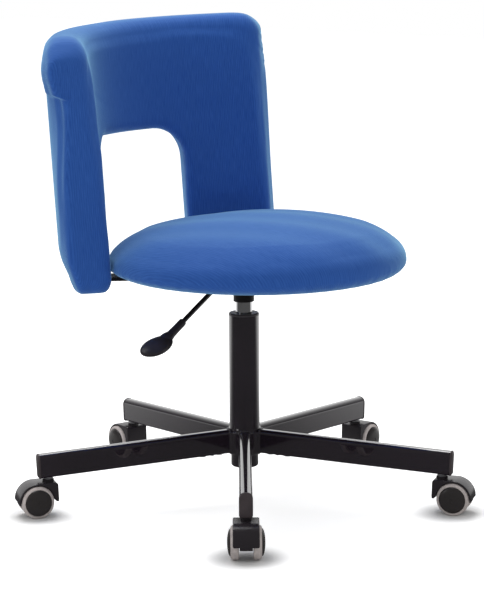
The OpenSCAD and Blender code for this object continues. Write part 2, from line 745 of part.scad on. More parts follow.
disc_recess = 4;
disc_hub = axle_diameter / 2 + 4;
disc_rim = disc_diameter / 2 - 3;

module wheel_disc(k, side) color(plastic_black) at_wheel(k, side) rotate_extrude() polygon(concat(
    [[0, axle_depth], [axle_diameter / 2 + running_fit, axle_depth], [axle_diameter / 2 + running_fit, 0],
     [disc_hub, 0], [disc_hub, disc_recess], [disc_rim, disc_recess], [disc_rim, 0], [disc_diameter / 2, 0],
     [disc_diameter / 2, wheel_width - 1]],
    [for (i = [0:6]) let (a = 90 * i / 6)
        [(disc_diameter / 2 - 0.8) * cos(a), wheel_width - 1 + (disc_bulge + 1) * sin(a)]]));

module wheel_tread(k, side) color(tread_grey) at_wheel(k, side) rotate_extrude() {
    r = wheel_diameter / 2;
    edge = 2.4;
    polygon(concat([[disc_diameter / 2, 0]], quarter([r - edge, edge], edge, -90, 3),
        quarter([r - edge, wheel_width - edge], edge, 0, 3), [[disc_diameter / 2, wheel_width - 1]]));
}

// ---- The nodes ----

base_hub();
base_arms();
arm_end_caps();
caster_sockets();
column_tube();
column_bush();
thrust_bearing();
piston_rod();
retaining_clip();
gas_cylinder();
cylinder_rod_guide();
valve_button();
mechanism_housing();
mechanism_plate();
lever_pivot_pin();
lever_rod();
lever_handle();
seat_board();
seat_bolts();
seat_cushion();
back_bracket_right();
back_bracket_left();
bracket_bolts();
back_shell();
back_cushion();
for (k = [1:arm_count]) {
    caster_stem(k);
    caster_hood(k);
    caster_axle(k);
    wheel_disc(k, -1);
    wheel_tread(k, -1);
    wheel_disc(k, 1);
    wheel_tread(k, 1);
}
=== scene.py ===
"""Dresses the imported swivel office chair: upholstery, paint, casters, lever and studio.

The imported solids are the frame. Each class below builds one sub-assembly on it, and main() runs
them in order. All lengths are metres in the frame of the solids: Z up from the floor, the column
on the Z axis, the front of the seat towards -Y.
"""

import logging
import math
from dataclasses import dataclass, field
from enum import Enum
from typing import Callable, Iterable, Sequence

import bmesh
import bpy
import numpy as np
from mathutils import Matrix, Vector

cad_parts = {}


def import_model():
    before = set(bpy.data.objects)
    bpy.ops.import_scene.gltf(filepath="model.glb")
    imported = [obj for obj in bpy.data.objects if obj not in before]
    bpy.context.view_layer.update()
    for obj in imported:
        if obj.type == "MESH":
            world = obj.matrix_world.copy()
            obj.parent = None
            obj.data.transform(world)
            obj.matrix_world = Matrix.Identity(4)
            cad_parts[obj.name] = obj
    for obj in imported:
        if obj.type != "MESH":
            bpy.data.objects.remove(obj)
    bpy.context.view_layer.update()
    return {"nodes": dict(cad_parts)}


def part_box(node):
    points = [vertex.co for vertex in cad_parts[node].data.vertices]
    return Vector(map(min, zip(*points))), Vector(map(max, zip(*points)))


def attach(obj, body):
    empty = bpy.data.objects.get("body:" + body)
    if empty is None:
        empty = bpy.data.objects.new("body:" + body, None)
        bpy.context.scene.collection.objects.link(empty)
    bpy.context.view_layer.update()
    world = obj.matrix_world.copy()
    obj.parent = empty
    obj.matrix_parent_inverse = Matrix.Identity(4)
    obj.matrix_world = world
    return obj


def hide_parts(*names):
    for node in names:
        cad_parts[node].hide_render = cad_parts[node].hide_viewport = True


log = logging.getLogger("chair")

Colour = tuple[float, float, float]
Point = tuple[float, float, float]
Section = tuple[tuple[float, float], ...]

WHITE: Colour = (1.0, 1.0, 1.0)


# ---------------------------------------------------------------- node trees

class Scalar:
    """A number's socket, on which Python's arithmetic adds Math nodes."""

    def __init__(self, maker: "NodeMaker", socket: bpy.types.NodeSocket) -> None:
        """Wraps one output socket.

        Args:
            maker: The builder that adds nodes to the socket's tree.
            socket: The output socket.
        """
        self.maker = maker
        self.socket = socket

    def _with(self, operation: str, *others: "Scalar | float", swap: bool = False) -> "Scalar":
        """Adds one Math node.

        Args:
            operation: The node's operation.
            others: The other operands.
            swap: Whether this socket is the second operand.

        Returns:
            The node's result.
        """
        values = [self, *others]
        if swap:
            values.reverse()
        node = self.maker.add("ShaderNodeMath", {"operation": operation}, dict(enumerate(values)))
        return Scalar(self.maker, node.outputs[0])

    def __add__(self, other: "Scalar | float") -> "Scalar":
        """Returns the sum."""
        return self._with("ADD", other)

    __radd__ = __add__

    def __mul__(self, other: "Scalar | float") -> "Scalar":
        """Returns the product."""
        return self._with("MULTIPLY", other)

    __rmul__ = __mul__

    def __sub__(self, other: "Scalar | float") -> "Scalar":
        """Returns the difference."""
        return self._with("SUBTRACT", other)

    def __rsub__(self, other: float) -> "Scalar":
        """Returns the difference from a plain number."""
        return self._with("SUBTRACT", other, swap=True)

    def __rtruediv__(self, other: float) -> "Scalar":
        """Returns a plain number divided by this one."""
        return self._with("DIVIDE", other, swap=True)

    def sine(self) -> "Scalar":
        """Returns the sine."""
        return self._with("SINE")

    def lesser(self, other: "Scalar | float") -> "Scalar":
        """Returns the smaller of the two."""
        return self._with("MINIMUM", other)

    def step(self, low: float, high: float, to_low: float = 0.0, to_high: float = 1.0) -> "Scalar":
        """Maps a range smoothly onto another.

        Args:
            low: Where the step begins.
            high: Where it ends.
            to_low: The result at its beginning.
            to_high: The result at its end.

        Returns:
            The mapped number.
        """
        node = self.maker.add("ShaderNodeMapRange", {"interpolation_type": "SMOOTHSTEP"},
                              {0: self, 1: low, 2: high, 3: to_low, 4: to_high})
        return Scalar(self.maker, node.outputs[0])


class NodeMaker:
    """Adds nodes to one tree, each with its settings first and then its sockets."""

    def __init__(self, tree: bpy.types.NodeTree) -> None:
        """Takes the tree that the nodes go into."""
        self.tree = tree

    def add(self, kind: str, settings: dict | None = None, values: dict | None = None) -> bpy.types.Node:
        """Adds one node.

        Args:
            kind: The node's type.
            settings: Its own settings, such as an operation.
            values: A number, colour, link or Scalar for each socket, by name or by place.

        Returns:
            The node.
        """
        node = self.tree.nodes.new(kind)
        for key, value in (settings or {}).items():
            setattr(node, key, value)
        for key, value in (values or {}).items():
            socket = node.inputs[key]
            if isinstance(value, Scalar):
                value = value.socket
            if isinstance(value, bpy.types.NodeSocket):
                self.tree.links.new(value, socket)
            else:
                socket.default_value = (*value, 1.0) if socket.type == "RGBA" else value
        return node

    def scalar(self, kind: str, settings: dict | None = None, values: dict | None = None,
               out: int | str = 0) -> Scalar:
        """Adds a node and wraps one of its outputs.

        Args:
            kind: The node's type.
            settings: Its own settings.
            values: Its sockets.
            out: The output wanted.

        Returns:
            The output as a Scalar.
        """
        return Scalar(self, self.add(kind, settings, values).outputs[out])

    def place(self, scale: Point = (1, 1, 1)) -> bpy.types.NodeSocket:
        """Returns the piece's own coordinates, stretched by scale.

        Args:
            scale: The stretch on each axis.

        Returns:
            The coordinates' socket.
        """
        coords = self.add("ShaderNodeTexCoord").outputs["Object"]
        return self.add("ShaderNodeMapping", {}, {"Vector": coords, "Scale": scale}).outputs[0]

    def noise(self, per_metre: float, detail: float = 3, where: bpy.types.NodeSocket | None = None) -> Scalar:
        """Returns soft noise about 0.5.

        Args:
            per_metre: How many blotches there are in a metre.
            detail: Its octaves.
            where: The coordinates, or the piece's own.

        Returns:
            The noise.
        """
        return self.scalar("ShaderNodeTexNoise", {}, {"Vector": where or self.place(), "Scale": per_metre,
                                                      "Detail": detail})

    def blend(self, share: Scalar | float, low: Colour | bpy.types.NodeSocket,
              high: Colour | bpy.types.NodeSocket) -> bpy.types.NodeSocket:
        """Mixes two colours.

        Args:
            share: How much of the second colour there is.
            low: The first colour.
            high: The second colour.

        Returns:
            The mixed colour.
        """
        return self.add("ShaderNodeMix", {"data_type": "RGBA"}, {0: share, 6: low, 7: high}).outputs[2]

    def measure(self, operation: str, first: Point | bpy.types.NodeSocket,
                second: Point | bpy.types.NodeSocket) -> Scalar:
        """Returns a number from two vectors.

        Args:
            operation: What is worked out, such as their distance.
            first: The first vector.
            second: The second vector.

        Returns:
            The number.
        """
        return self.scalar("ShaderNodeVectorMath", {"operation": operation}, {0: first, 1: second}, "Value")

    def bump(self, height: Scalar, depth: float, under: bpy.types.NodeSocket | None = None) -> bpy.types.NodeSocket:
        """Adds a relief.

        Args:
            height: The relief, from 0 to 1.
            depth: What a height of 1 stands for, in metres.
            under: A relief that this one lies on.

        Returns:
            The normal.
        """
        values = {"Height": height, "Distance": depth, "Strength": 1.0}
        if under is not None:
            values["Normal"] = under
        return self.add("ShaderNodeBump", {}, values).outputs[0]


# ---------------------------------------------------------------- finishes

@dataclass(frozen=True)
class Finish:
    """A surface's finish, made into a material once."""

    name: str
    colour: Colour

    def surface(self, maker: NodeMaker) -> dict:
        """Returns the shader's sockets. Each kind of finish has its own."""
        raise NotImplementedError

    def material(self) -> bpy.types.Material:
        """Returns the finish's material, and makes it when first asked.

        Returns:
            The material.
        """
        found = bpy.data.materials.get(self.name)
        if found:
            return found
        made = bpy.data.materials.new(self.name)
        made.use_nodes = True
        made.node_tree.nodes.clear()
        maker = NodeMaker(made.node_tree)
        shader = maker.add("ShaderNodeBsdfPrincipled", {}, self.surface(maker))
        maker.add("ShaderNodeOutputMaterial", {}, {"Surface": shader.outputs[0]})
        return made

    def shaded(self, factor: float, lift: float = 0.0) -> Colour:
        """Returns the colour, made darker or lighter by a factor and lifted a little."""
        return tuple(min(1.0, factor * c + lift) for c in self.colour)


@dataclass(frozen=True)
class BakedPaint(Finish):
    """Powder paint on steel: glossy, with a fine orange-peel skin and a blotchy tone that is darker in patches."""

    gloss: float = 0.14
    peel: float = 0.00003
    coat: float = 1.0
    coat_roughness: float = 0.03
    coat_ior: float = 1.8

    def surface(self, maker: NodeMaker) -> dict:
        """Returns the shader's sockets.

        Args:
            maker: The builder of the material's tree.

        Returns:
            The values and links by socket name.
        """
        cloud = maker.noise(9, 4)
        skin = maker.noise(420, 2)
        return {
            "Base Color": maker.blend(cloud.step(0.35, 0.65), self.shaded(0.75), self.colour),
            "Roughness": cloud.step(0.3, 0.75, self.gloss, self.gloss + 0.09),
            "Coat Weight": self.coat, "Coat Roughness": self.coat_roughness, "Coat IOR": self.coat_ior,
            "Specular IOR Level": 0.5,
            "Normal": maker.bump(skin, self.peel)}


@dataclass(frozen=True)
class MouldedPlastic(Finish):
    """Moulded plastic with a fine grain and handled, slightly shinier patches."""

    roughness: float = 0.38
    grain: float = 0.00005
    coarse: float = 900

    def surface(self, maker: NodeMaker) -> dict:
        """Returns the shader's sockets.

        Args:
            maker: The builder of the material's tree.

        Returns:
            The values and links by socket name.
        """
        grain = maker.noise(self.coarse, 2)
        wear = maker.noise(28, 4)
        return {
            "Base Color": maker.blend(wear.step(0.4, 0.75), self.colour, self.shaded(1.35, 0.002)),
            "Roughness": wear.step(0.3, 0.7, self.roughness + 0.06, self.roughness - 0.05),
            "Normal": maker.bump(grain, self.grain)}


@dataclass(frozen=True)
class PlatedMetal(Finish):
    """Plated or turned metal with fine rings round the upright axis."""

    roughness: float = 0.08
    rings: float = 1500
    depth: float = 0.000004

    def surface(self, maker: NodeMaker) -> dict:
        """Returns the shader's sockets.

        Args:
            maker: The builder of the material's tree.

        Returns:
            The values and links by socket name.
        """
        lines = maker.noise(1, 2, maker.place((20, 20, self.rings)))
        smear = maker.noise(30, 3)
        return {
            "Base Color": maker.blend(smear.step(0.3, 0.7), self.shaded(0.82), self.colour), "Metallic": 1.0,
            "Roughness": (lines * 0.06 + self.roughness) + smear * 0.04,
            "Normal": maker.bump(lines, self.depth)}


@dataclass(frozen=True)
class RibbedCloth(Finish):
    """Woven upholstery cloth with fine ribs, laid out by the piece's own map in metres."""

    light: Colour = (0.04, 0.14, 0.46)
    rib: float = 0.0036
    pick: float = 0.0013
    wander: float = 0.0012
    slub_pitch: Point = (900, 45, 1)
    relief: tuple[float, float, float] = (0.28, 0.12, 0.5)
    depth: float = 0.00014
    shine: float = 0.22
    sheen: float = 0.62
    sheen_roughness: float = 0.40
    sheen_tint: Colour = (0.42, 0.82, 1.0)

    def surface(self, maker: NodeMaker) -> dict:
        """Returns the shader's sockets.

        Args:
            maker: The builder of the material's tree.

        Returns:
            The values and links by socket name.
        """
        laid = maker.add("ShaderNodeUVMap", {"uv_map": "cloth"}).outputs[0]
        split = maker.add("ShaderNodeSeparateXYZ", {}, {0: laid})
        across, along = (Scalar(maker, split.outputs[i]) for i in (0, 1))
        sway = maker.noise(35, 2, laid)
        rib = ((across + sway * self.wander) * (2 * math.pi / self.rib)).sine() * 0.5 + 0.5
        pick = (along * (2 * math.pi / self.pick)).sine() * 0.5 + 0.5
        drawn = maker.add("ShaderNodeMapping", {}, {"Vector": laid, "Scale": self.slub_pitch})
        slub = maker.noise(1, 3, drawn.outputs[0])
        fuzz = maker.noise(1400, 2, laid)
        cloud = maker.noise(7, 3)
        thread = maker.blend((rib * 0.18 + slub * 0.75).step(0.1, 0.9), self.colour, self.light)
        worn = maker.blend(cloud.step(0.35, 0.7, 0.0, 0.14), thread, self.shaded(0.8))
        of_rib, of_pick, of_fuzz = self.relief
        return {
            "Base Color": worn, "Roughness": slub.step(0.3, 0.7, 0.93, 0.78), "Specular IOR Level": self.shine,
            "Sheen Weight": self.sheen, "Sheen Roughness": self.sheen_roughness, "Sheen Tint": self.sheen_tint,
            "Normal": maker.bump(rib * of_rib + pick * of_pick + fuzz * of_fuzz, self.depth)}


@dataclass(frozen=True)
class SoftTread(Finish):
    """The soft pale tread of a wheel, dustier where it rolls."""

    grain: float = 0.00008

    def surface(self, maker: NodeMaker) -> dict:
        """Returns the shader's sockets.

        Args:
            maker: The builder of the material's tree.

        Returns:
            The values and links by socket name.
        """
        dust = maker.noise(160, 4)
        soil = maker.noise(24, 3)
        return {
            "Base Color": maker.blend((dust * 0.5 + soil * 0.5).step(0.35, 0.68), self.shaded(0.7), self.colour),
            "Roughness": soil.step(0.3, 0.7, 0.42, 0.6), "Normal": maker.bump(dust, self.grain)}


@dataclass(frozen=True)
class PlyBoard(Finish):
    """Unfinished plywood with long grain."""

    relief: float = 0.0001

    def surface(self, maker: NodeMaker) -> dict:
        """Returns the shader's sockets.

        Args:
            maker: The builder of the material's tree.

        Returns:
            The values and links by socket name.
        """
        grain = maker.noise(1, 5, maker.place((120, 9, 700)))
        figure = maker.noise(6, 3)
        return {
            "Base Color": maker.blend((grain * 0.7 + figure * 0.3).step(0.36, 0.64), self.shaded(0.6), self.colour),
            "Roughness": grain.step(0.3, 0.7, 0.7, 0.55), "Normal": maker.bump(grain, self.relief)}


@dataclass(frozen=True)
class FeltLiner(Finish):
    """The thin bonded cloth that closes the seat's underside."""

    relief: float = 0.0001

    def surface(self, maker: NodeMaker) -> dict:
        """Returns the shader's sockets.

        Args:
            maker: The builder of the material's tree.

        Returns:
            The values and links by socket name.
        """
        fibre = maker.noise(700, 5)
        dots = maker.scalar("ShaderNodeTexVoronoi", {}, {"Vector": maker.place(), "Scale": 420})
        return {
            "Base Color": maker.blend(fibre.step(0.4, 0.8), self.colour, self.shaded(2.2)),
            "Roughness": fibre.step(0.3, 0.7, 0.95, 0.85),
            "Normal": maker.bump(fibre * 0.5 + dots * 0.5, self.relief)}


CLOTH = RibbedCloth("blue_ribbed_cloth", (0.015, 0.071, 0.32), (0.032, 0.128, 0.47))
# the hem's cloth: the seat's cloth painted about a fifth darker as painted shade under the board, with finer ribs
CLOTH_HEM_PAINTED_SHADE = RibbedCloth("blue_cloth_edging", (0.014, 0.060, 0.25), (0.024, 0.095, 0.34), rib=0.0022,
                         depth=0.0001)
PAINT = BakedPaint("black_paint", (0.0140, 0.0084, 0.0150))
PAINT_PLATE = BakedPaint("black_paint_plates", (0.0085, 0.0065, 0.0085), gloss=0.5, peel=0.0001, coat=0.0)
ROD_PAINT = BakedPaint("black_lever_paint", (0.009, 0.007, 0.009), gloss=0.28, peel=0.00004)
CAP_PLASTIC = MouldedPlastic("cap_plastic", (0.052, 0.040, 0.044), roughness=0.4)
HOOD_PLASTIC = MouldedPlastic("hood_plastic", (0.043, 0.034, 0.039), roughness=0.34)
DISC_PLASTIC = MouldedPlastic("disc_plastic", (0.040, 0.031, 0.035), roughness=0.42)
LEVER_PLASTIC = MouldedPlastic("lever_plastic", (0.024, 0.020, 0.024), roughness=0.36)
BUSH_PLASTIC = MouldedPlastic("bush_plastic", (0.05, 0.045, 0.05), roughness=0.3)
CHROME = PlatedMetal("chrome", (0.80, 0.81, 0.83), roughness=0.15)
ZINC = PlatedMetal("zinc", (0.45, 0.46, 0.48), roughness=0.28, depth=0.00001)
BRASS = PlatedMetal("brass", (0.6, 0.43, 0.18), roughness=0.2)
STAPLE_STEEL = PlatedMetal("staple_steel", (0.6, 0.6, 0.62), roughness=0.3)
TREAD = SoftTread("pale_tread", (0.58, 0.52, 0.50))
PLY = PlyBoard("plywood", (0.56, 0.39, 0.22))
LINER = FeltLiner("liner_cloth", (0.012, 0.012, 0.014))


# ---------------------------------------------------------------- meshes

def linked(name: str, data: bpy.types.ID | None) -> bpy.types.Object:
    """Makes an object of a mesh, lamp or camera and links it to the scene.

    Args:
        name: The object's name.
        data: What it shows.

    Returns:
        The object.
    """
    made = bpy.data.objects.new(name, data)
    bpy.context.collection.objects.link(made)
    return made


def new_object(name: str, points: Iterable[Sequence[float]], faces: Iterable[Sequence[int]],
               finish: Finish) -> bpy.types.Object:
    """Makes a mesh object at the origin.

    Args:
        name: Its name.
        points: Its vertices in metres.
        faces: Its faces.
        finish: Its finish.

    Returns:
        The object, linked to the scene.
    """
    mesh = bpy.data.meshes.new(name)
    mesh.from_pydata([tuple(map(float, p)) for p in points], [], [tuple(map(int, f)) for f in faces])
    mesh.materials.append(finish.material())
    return linked(name, mesh)


def skin_faces(rings: int, size: int, round_again: bool = False, open_rings: bool = False) -> list[tuple[int, ...]]:
    """Returns the faces between neighbouring rings of points.

    Args:
        rings: How many rings there are.
        size: How many points each has.
        round_again: Whether the last ring meets the first.
        open_rings: Whether a ring's ends stay apart.

    Returns:
        Four-sided faces, ring by ring.
    """
    return [(i * size + j, n * size + j, n * size + k, i * size + k)
            for i, n in ((i, (i + 1) % rings) for i in range(rings if round_again else rings - 1))
            for j, k in ((j, (j + 1) % size) for j in range(size - 1 if open_rings else size))]


def lofted(name: str, rings: Sequence[Sequence[Point]], finish: Finish) -> bpy.types.Object:
    """Makes a closed body from rings of points, with both ends filled.

    Args:
        name: The object's name.
        rings: The rings, all of one size.
        finish: The finish.

    Returns:
        The object.
    """
    size, last = len(rings[0]), (len(rings) - 1) * len(rings[0])
    faces = [(a, d, c, b) for a, b, c, d in skin_faces(len(rings), size)]
    faces += [tuple(range(size - 1, -1, -1)), tuple(range(last, last + size))]
    return new_object(name, [point for ring in rings for point in ring], faces, finish)


def lump(name: str, detail: int, finish: Finish, shape: Callable[[Vector], Vector]) -> bpy.types.Object:
    """Makes a rounded lump from a ball.

    Args:
        name: The object's name.
        detail: The ball's subdivisions.
        finish: The finish.
        shape: Gives a point's place in the frame from its place on the unit ball.

    Returns:
        The object.
    """
    bm = bmesh.new()
    bmesh.ops.create_icosphere(bm, subdivisions=detail, radius=1.0)
    for v in bm.verts:
        v.co = shape(v.co)
    mesh = bpy.data.meshes.new(name)
    bm.to_mesh(mesh)
    bm.free()
    mesh.materials.append(finish.material())
    return linked(name, mesh)


def frozen(piece: bpy.types.Object) -> bpy.types.Object:
    """Applies a piece's modifiers by taking its evaluated mesh.

    Args:
        piece: The object, whose mesh is replaced.

    Returns:
        The same object without modifiers.
    """
    graph = bpy.context.evaluated_depsgraph_get()
    graph.update()
    mesh = bpy.data.meshes.new_from_object(piece.evaluated_get(graph), depsgraph=graph)
    old = piece.data
    finishes = list(old.materials)
    piece.modifiers.clear()
    piece.data = mesh
    mesh.name = piece.name
    if not mesh.materials:
        for item in finishes:
            mesh.materials.append(item)
    bpy.data.meshes.remove(old)
    return piece


def shade(piece: bpy.types.Object, angle: float | None = None) -> bpy.types.Object:
    """Shades a piece smooth, apart from edges sharper than an angle in degrees, if one is given.

    Args:
        piece: The object.
        angle: The sharpest angle that is still shaded smooth, in degrees.

    Returns:
        The same object.
    """
    mesh = piece.data
    mesh.polygons.foreach_set("use_smooth", [True] * len(mesh.polygons))
    if angle is not None:
        mesh.set_sharp_from_angle(angle=math.radians(angle))
    mesh.update()
    return piece


def outward(piece: bpy.types.Object, merge: float = 0.00001) -> bpy.types.Object:
    """Merges doubles and turns every face outwards.

    Args:
        piece: The object.
        merge: How far apart doubles may be.

    Returns:
        The same object.
    """
    bm = bmesh.new()
    bm.from_mesh(piece.data)
    bmesh.ops.remove_doubles(bm, verts=bm.verts, dist=merge)
    bmesh.ops.recalc_face_normals(bm, faces=bm.faces)
    bm.to_mesh(piece.data)
    bm.free()
    return piece


def joined(name: str, pieces: Sequence[bpy.types.Object]) -> bpy.types.Object:
    """Joins pieces into one object.

    Args:
        name: The new object's name.
        pieces: The objects, which are removed.

    Returns:
        The joined object.
    """
    bm = bmesh.new()
    finishes: list[bpy.types.Material] = []
    for piece in pieces:
        table = []
        for item in piece.data.materials:
            if item not in finishes:
                finishes.append(item)
            table.append(finishes.index(item))
        start = len(bm.faces)
        bm.from_mesh(piece.data)
        bm.faces.ensure_lookup_table()
        for face in bm.faces[start:]:
            face.material_index = table[face.material_index] if table else 0
    mesh = bpy.data.meshes.new(name)
    bm.to_mesh(mesh)
    bm.free()
    for item in finishes:
        mesh.materials.append(item)
    for piece in pieces:
        bpy.data.objects.remove(piece)
    return linked(name, mesh)


def lathe(name: str, profile: Sequence[tuple[float, float]], place: Matrix, finish: Finish,
          steps: int = 48) -> bpy.types.Object:
    """Turns a closed profile round an axis.

    Args:
        name: The object's name.
        profile: Radius and height of each point, going round the section.
        place: From the lathe's own axes, with its axis on +Z, to the frame.
        finish: The finish.
        steps: How many sections there are.

    Returns:
        The closed body.
    """
    points = [place @ Vector((r * math.cos(a), r * math.sin(a), z))
              for a in (2 * math.pi * i / steps for i in range(steps)) for r, z in profile]
    faces = skin_faces(steps, len(profile), round_again=True)
    return shade(outward(new_object(name, points, faces, finish)), 35)


def bevelled(piece: bpy.types.Object, width: float, segments: int = 3, angle: float = 30) -> bpy.types.Object:
    """Rounds a piece's edges.

    Args:
        piece: The object.
        width: The bevel's width.
        segments: Its steps.
        angle: Edges sharper than this many degrees are rounded.

    Returns:
        The same object.
    """
    edge = piece.modifiers.new("edge", "BEVEL")
    edge.width, edge.segments, edge.limit_method = width, segments, "ANGLE"
    edge.angle_limit = math.radians(angle)
    edge.harden_normals = False
    return shade(frozen(piece), 40)


def prism(name: str, outline: Sequence[tuple[float, float]], half: float, place: Matrix, finish: Finish,
          edge: float = 0.0) -> bpy.types.Object:
    """Extrudes a closed outline to both sides and rounds its edges.

    Args:
        name: The object's name.
        outline: The outline's points.
        half: Half of the thickness.
        place: From the outline's plane, with its thickness on Z, to the frame.
        finish: The finish.
        edge: The width of the rounded edges.

    Returns:
        The solid.
    """
    size = len(outline)
    points = [place @ Vector((x, y, side * half)) for side in (-1, 1) for x, y in outline]
    faces = [tuple(range(size)), tuple(range(2 * size - 1, size - 1, -1))]
    faces += [(i, (i + 1) % size, size + (i + 1) % size, size + i) for i in range(size)]
    made = outward(new_object(name, points, faces, finish))
    return bevelled(made, edge) if edge else shade(made, 35)


def arc(centre: tuple[float, float], radius: float, start: float, end: float, steps: int) -> list[tuple[float, float]]:
    """Returns points on an arc, its angles in degrees.

    Args:
        centre: Its centre.
        radius: Its radius.
        start: Its first angle.
        end: Its last angle.
        steps: How many steps it has.

    Returns:
        The points, both ends included.
    """
    angles = [math.radians(start + (end - start) * i / steps) for i in range(steps + 1)]
    return [(centre[0] + radius * math.cos(a), centre[1] + radius * math.sin(a)) for a in angles]


def smoothstep(low: float, high: float, value: np.ndarray) -> np.ndarray:
    """Returns a smooth rise from 0 at low to 1 at high.

    Args:
        low: Where the rise begins.
        high: Where it ends.
        value: The values.

    Returns:
        The eased values.
    """
    t = np.clip((value - low) / (high - low), 0, 1)
    return t * t * (3 - 2 * t)


def coords(piece: bpy.types.Object, what: str = "co") -> np.ndarray:
    """Returns the places, or another vector, of a piece's vertices as an array of rows.

    Args:
        piece: The object.
        what: The vertices' property, such as co or normal.

    Returns:
        One row for each vertex.
    """
    flat = np.empty(3 * len(piece.data.vertices))
    piece.data.vertices.foreach_get(what, flat)
    return flat.reshape(-1, 3)


def set_coords(piece: bpy.types.Object, rows: np.ndarray) -> None:
    """Writes a piece's vertices."""
    piece.data.vertices.foreach_set("co", rows.astype(float).ravel())
    piece.data.update()


# ---------------------------------------------------------------- geometry nodes

class Repeater:
    """A Geometry Nodes tree that sets one small shape along a path, ending in plain geometry."""

    def __init__(self, name: str, numbers: dict[str, float | int]) -> None:
        """Makes the tree with its named inputs.

        Args:
            name: The tree's name.
            numbers: The inputs' names and values.
        """
        self.tree = bpy.data.node_groups.new(name, "GeometryNodeTree")
        face = self.tree.interface
        face.new_socket("Geometry", in_out="INPUT", socket_type="NodeSocketGeometry")
        face.new_socket("Geometry", in_out="OUTPUT", socket_type="NodeSocketGeometry")
        self.numbers = numbers
        self.keys: dict[str, str] = {}
        for label, value in numbers.items():
            kind = "NodeSocketInt" if isinstance(value, int) else "NodeSocketFloat"
            self.keys[label] = face.new_socket(label, in_out="INPUT", socket_type=kind).identifier
        self.maker = NodeMaker(self.tree)
        self.start = self.maker.add("NodeGroupInput")
        self.end = self.maker.add("NodeGroupOutput")

    def given(self, label: str) -> Scalar:
        """Returns a named input."""
        return Scalar(self.maker, self.start.outputs[label])

    def along(self, mode: str, values: dict) -> bpy.types.Node:
        """Sets points along the piece's edges.

        Args:
            mode: Whether LENGTH or COUNT says how many.
            values: The node's sockets.

        Returns:
            The node, with the points and then their tangents.
        """
        curve = self.maker.add("GeometryNodeMeshToCurve", {}, {0: self.start.outputs[0]})
        return self.maker.add("GeometryNodeCurveToPoints", {"mode": mode}, {"Curve": curve.outputs[0], **values})

    def chance(self, low: Scalar, high: Scalar) -> Scalar:
        """Returns a random number of each point, between two limits."""
        return self.maker.scalar("FunctionNodeRandomValue", {"data_type": "FLOAT"},
                                 {2: low, 3: high, "Seed": self.given("Seed")}, 1)

    def turned(self, angle: Scalar) -> bpy.types.NodeSocket:
        """Returns a turn about Z."""
        return self.maker.add("FunctionNodeAxisAngleToRotation", {},
                              {"Axis": (0.0, 0.0, 1.0), "Angle": angle}).outputs[0]

    def box(self, sides: Sequence[Scalar]) -> bpy.types.NodeSocket:
        """Returns a box with the given sides.

        Args:
            sides: Its sides along X, Y and Z.

        Returns:
            The box's socket.
        """
        size = self.maker.add("ShaderNodeCombineXYZ", {}, dict(enumerate(sides)))
        return self.maker.add("GeometryNodeMeshCube", {}, {"Size": size.outputs[0]}).outputs[0]

    def close(self, points: bpy.types.Node, shape: bpy.types.NodeSocket, placing: dict, finish: Finish) -> "Repeater":
        """Sets a shape on every point and ends the tree: real geometry with its finish.

        Args:
            points: The node with the points.
            shape: The shape.
            placing: Its scale or rotation on each point.
            finish: Its finish.

        Returns:
            The finished tree.
        """
        put = self.maker.add("GeometryNodeInstanceOnPoints", {},
                             {"Points": points.outputs[0], "Instance": shape, **placing})
        real = self.maker.add("GeometryNodeRealizeInstances", {}, {"Geometry": put.outputs[0]})
        smooth = self.maker.add("GeometryNodeSetShadeSmooth", {}, {"Geometry": real.outputs[0]})
        dressed = self.maker.add("GeometryNodeSetMaterial", {}, {"Geometry": smooth.outputs[0],
                                                                 "Material": finish.material()})
        self.tree.links.new(dressed.outputs[0], self.end.inputs[0])
        return self

    def run(self, piece: bpy.types.Object) -> bpy.types.Object:
        """Runs the tree on a piece and keeps the plain mesh.

        Args:
            piece: The object that carries the path.

        Returns:
            The same object with the repeated shapes as its mesh.
        """
        modifier = piece.modifiers.new("repeat", "NODES")
        modifier.node_group = self.tree
        for label, value in self.numbers.items():
            modifier[self.keys[label]] = value
        return frozen(piece)


def path_object(name: str, loops: Sequence[Sequence[Point]], finish: Finish) -> bpy.types.Object:
    """Makes an object of edges only, one closed loop for each list of points.

    Args:
        name: Its name.
        loops: The lists of points.
        finish: The finish that the repeated shapes get.

    Returns:
        The object.
    """
    points, edges = [], []
    for loop in loops:
        first = len(points)
        points += [tuple(p) for p in loop]
        edges += [(first + i, first + (i + 1) % len(loop)) for i in range(len(loop))]
    mesh = bpy.data.meshes.new(name)
    mesh.from_pydata(points, edges, [])
    mesh.materials.append(finish.material())
    return linked(name, mesh)


def weld_repeater(finish: Finish, spacing: float, size: float, seed: int) -> Repeater:
    """Sets overlapping, uneven drops of weld along a path.

    Args:
        finish: The drops' finish.
        spacing: The distance between drops.
        size: A drop's radius.
        seed: The seed of their unevenness.

    Returns:
        The tree.
    """
    rep = Repeater("weld_drops", {"Spacing": spacing, "Size": size, "Unevenness": 0.22, "Seed": seed})
    dots = rep.along("LENGTH", {"Length": rep.given("Spacing")})
    drop = rep.maker.add("GeometryNodeMeshIcoSphere", {}, {"Radius": rep.given("Size"), "Subdivisions": 2})
    uneven = rep.given("Unevenness")
    return rep.close(dots, drop.outputs[0], {"Scale": rep.chance(1.0 - uneven, 1.0 + uneven)}, finish)


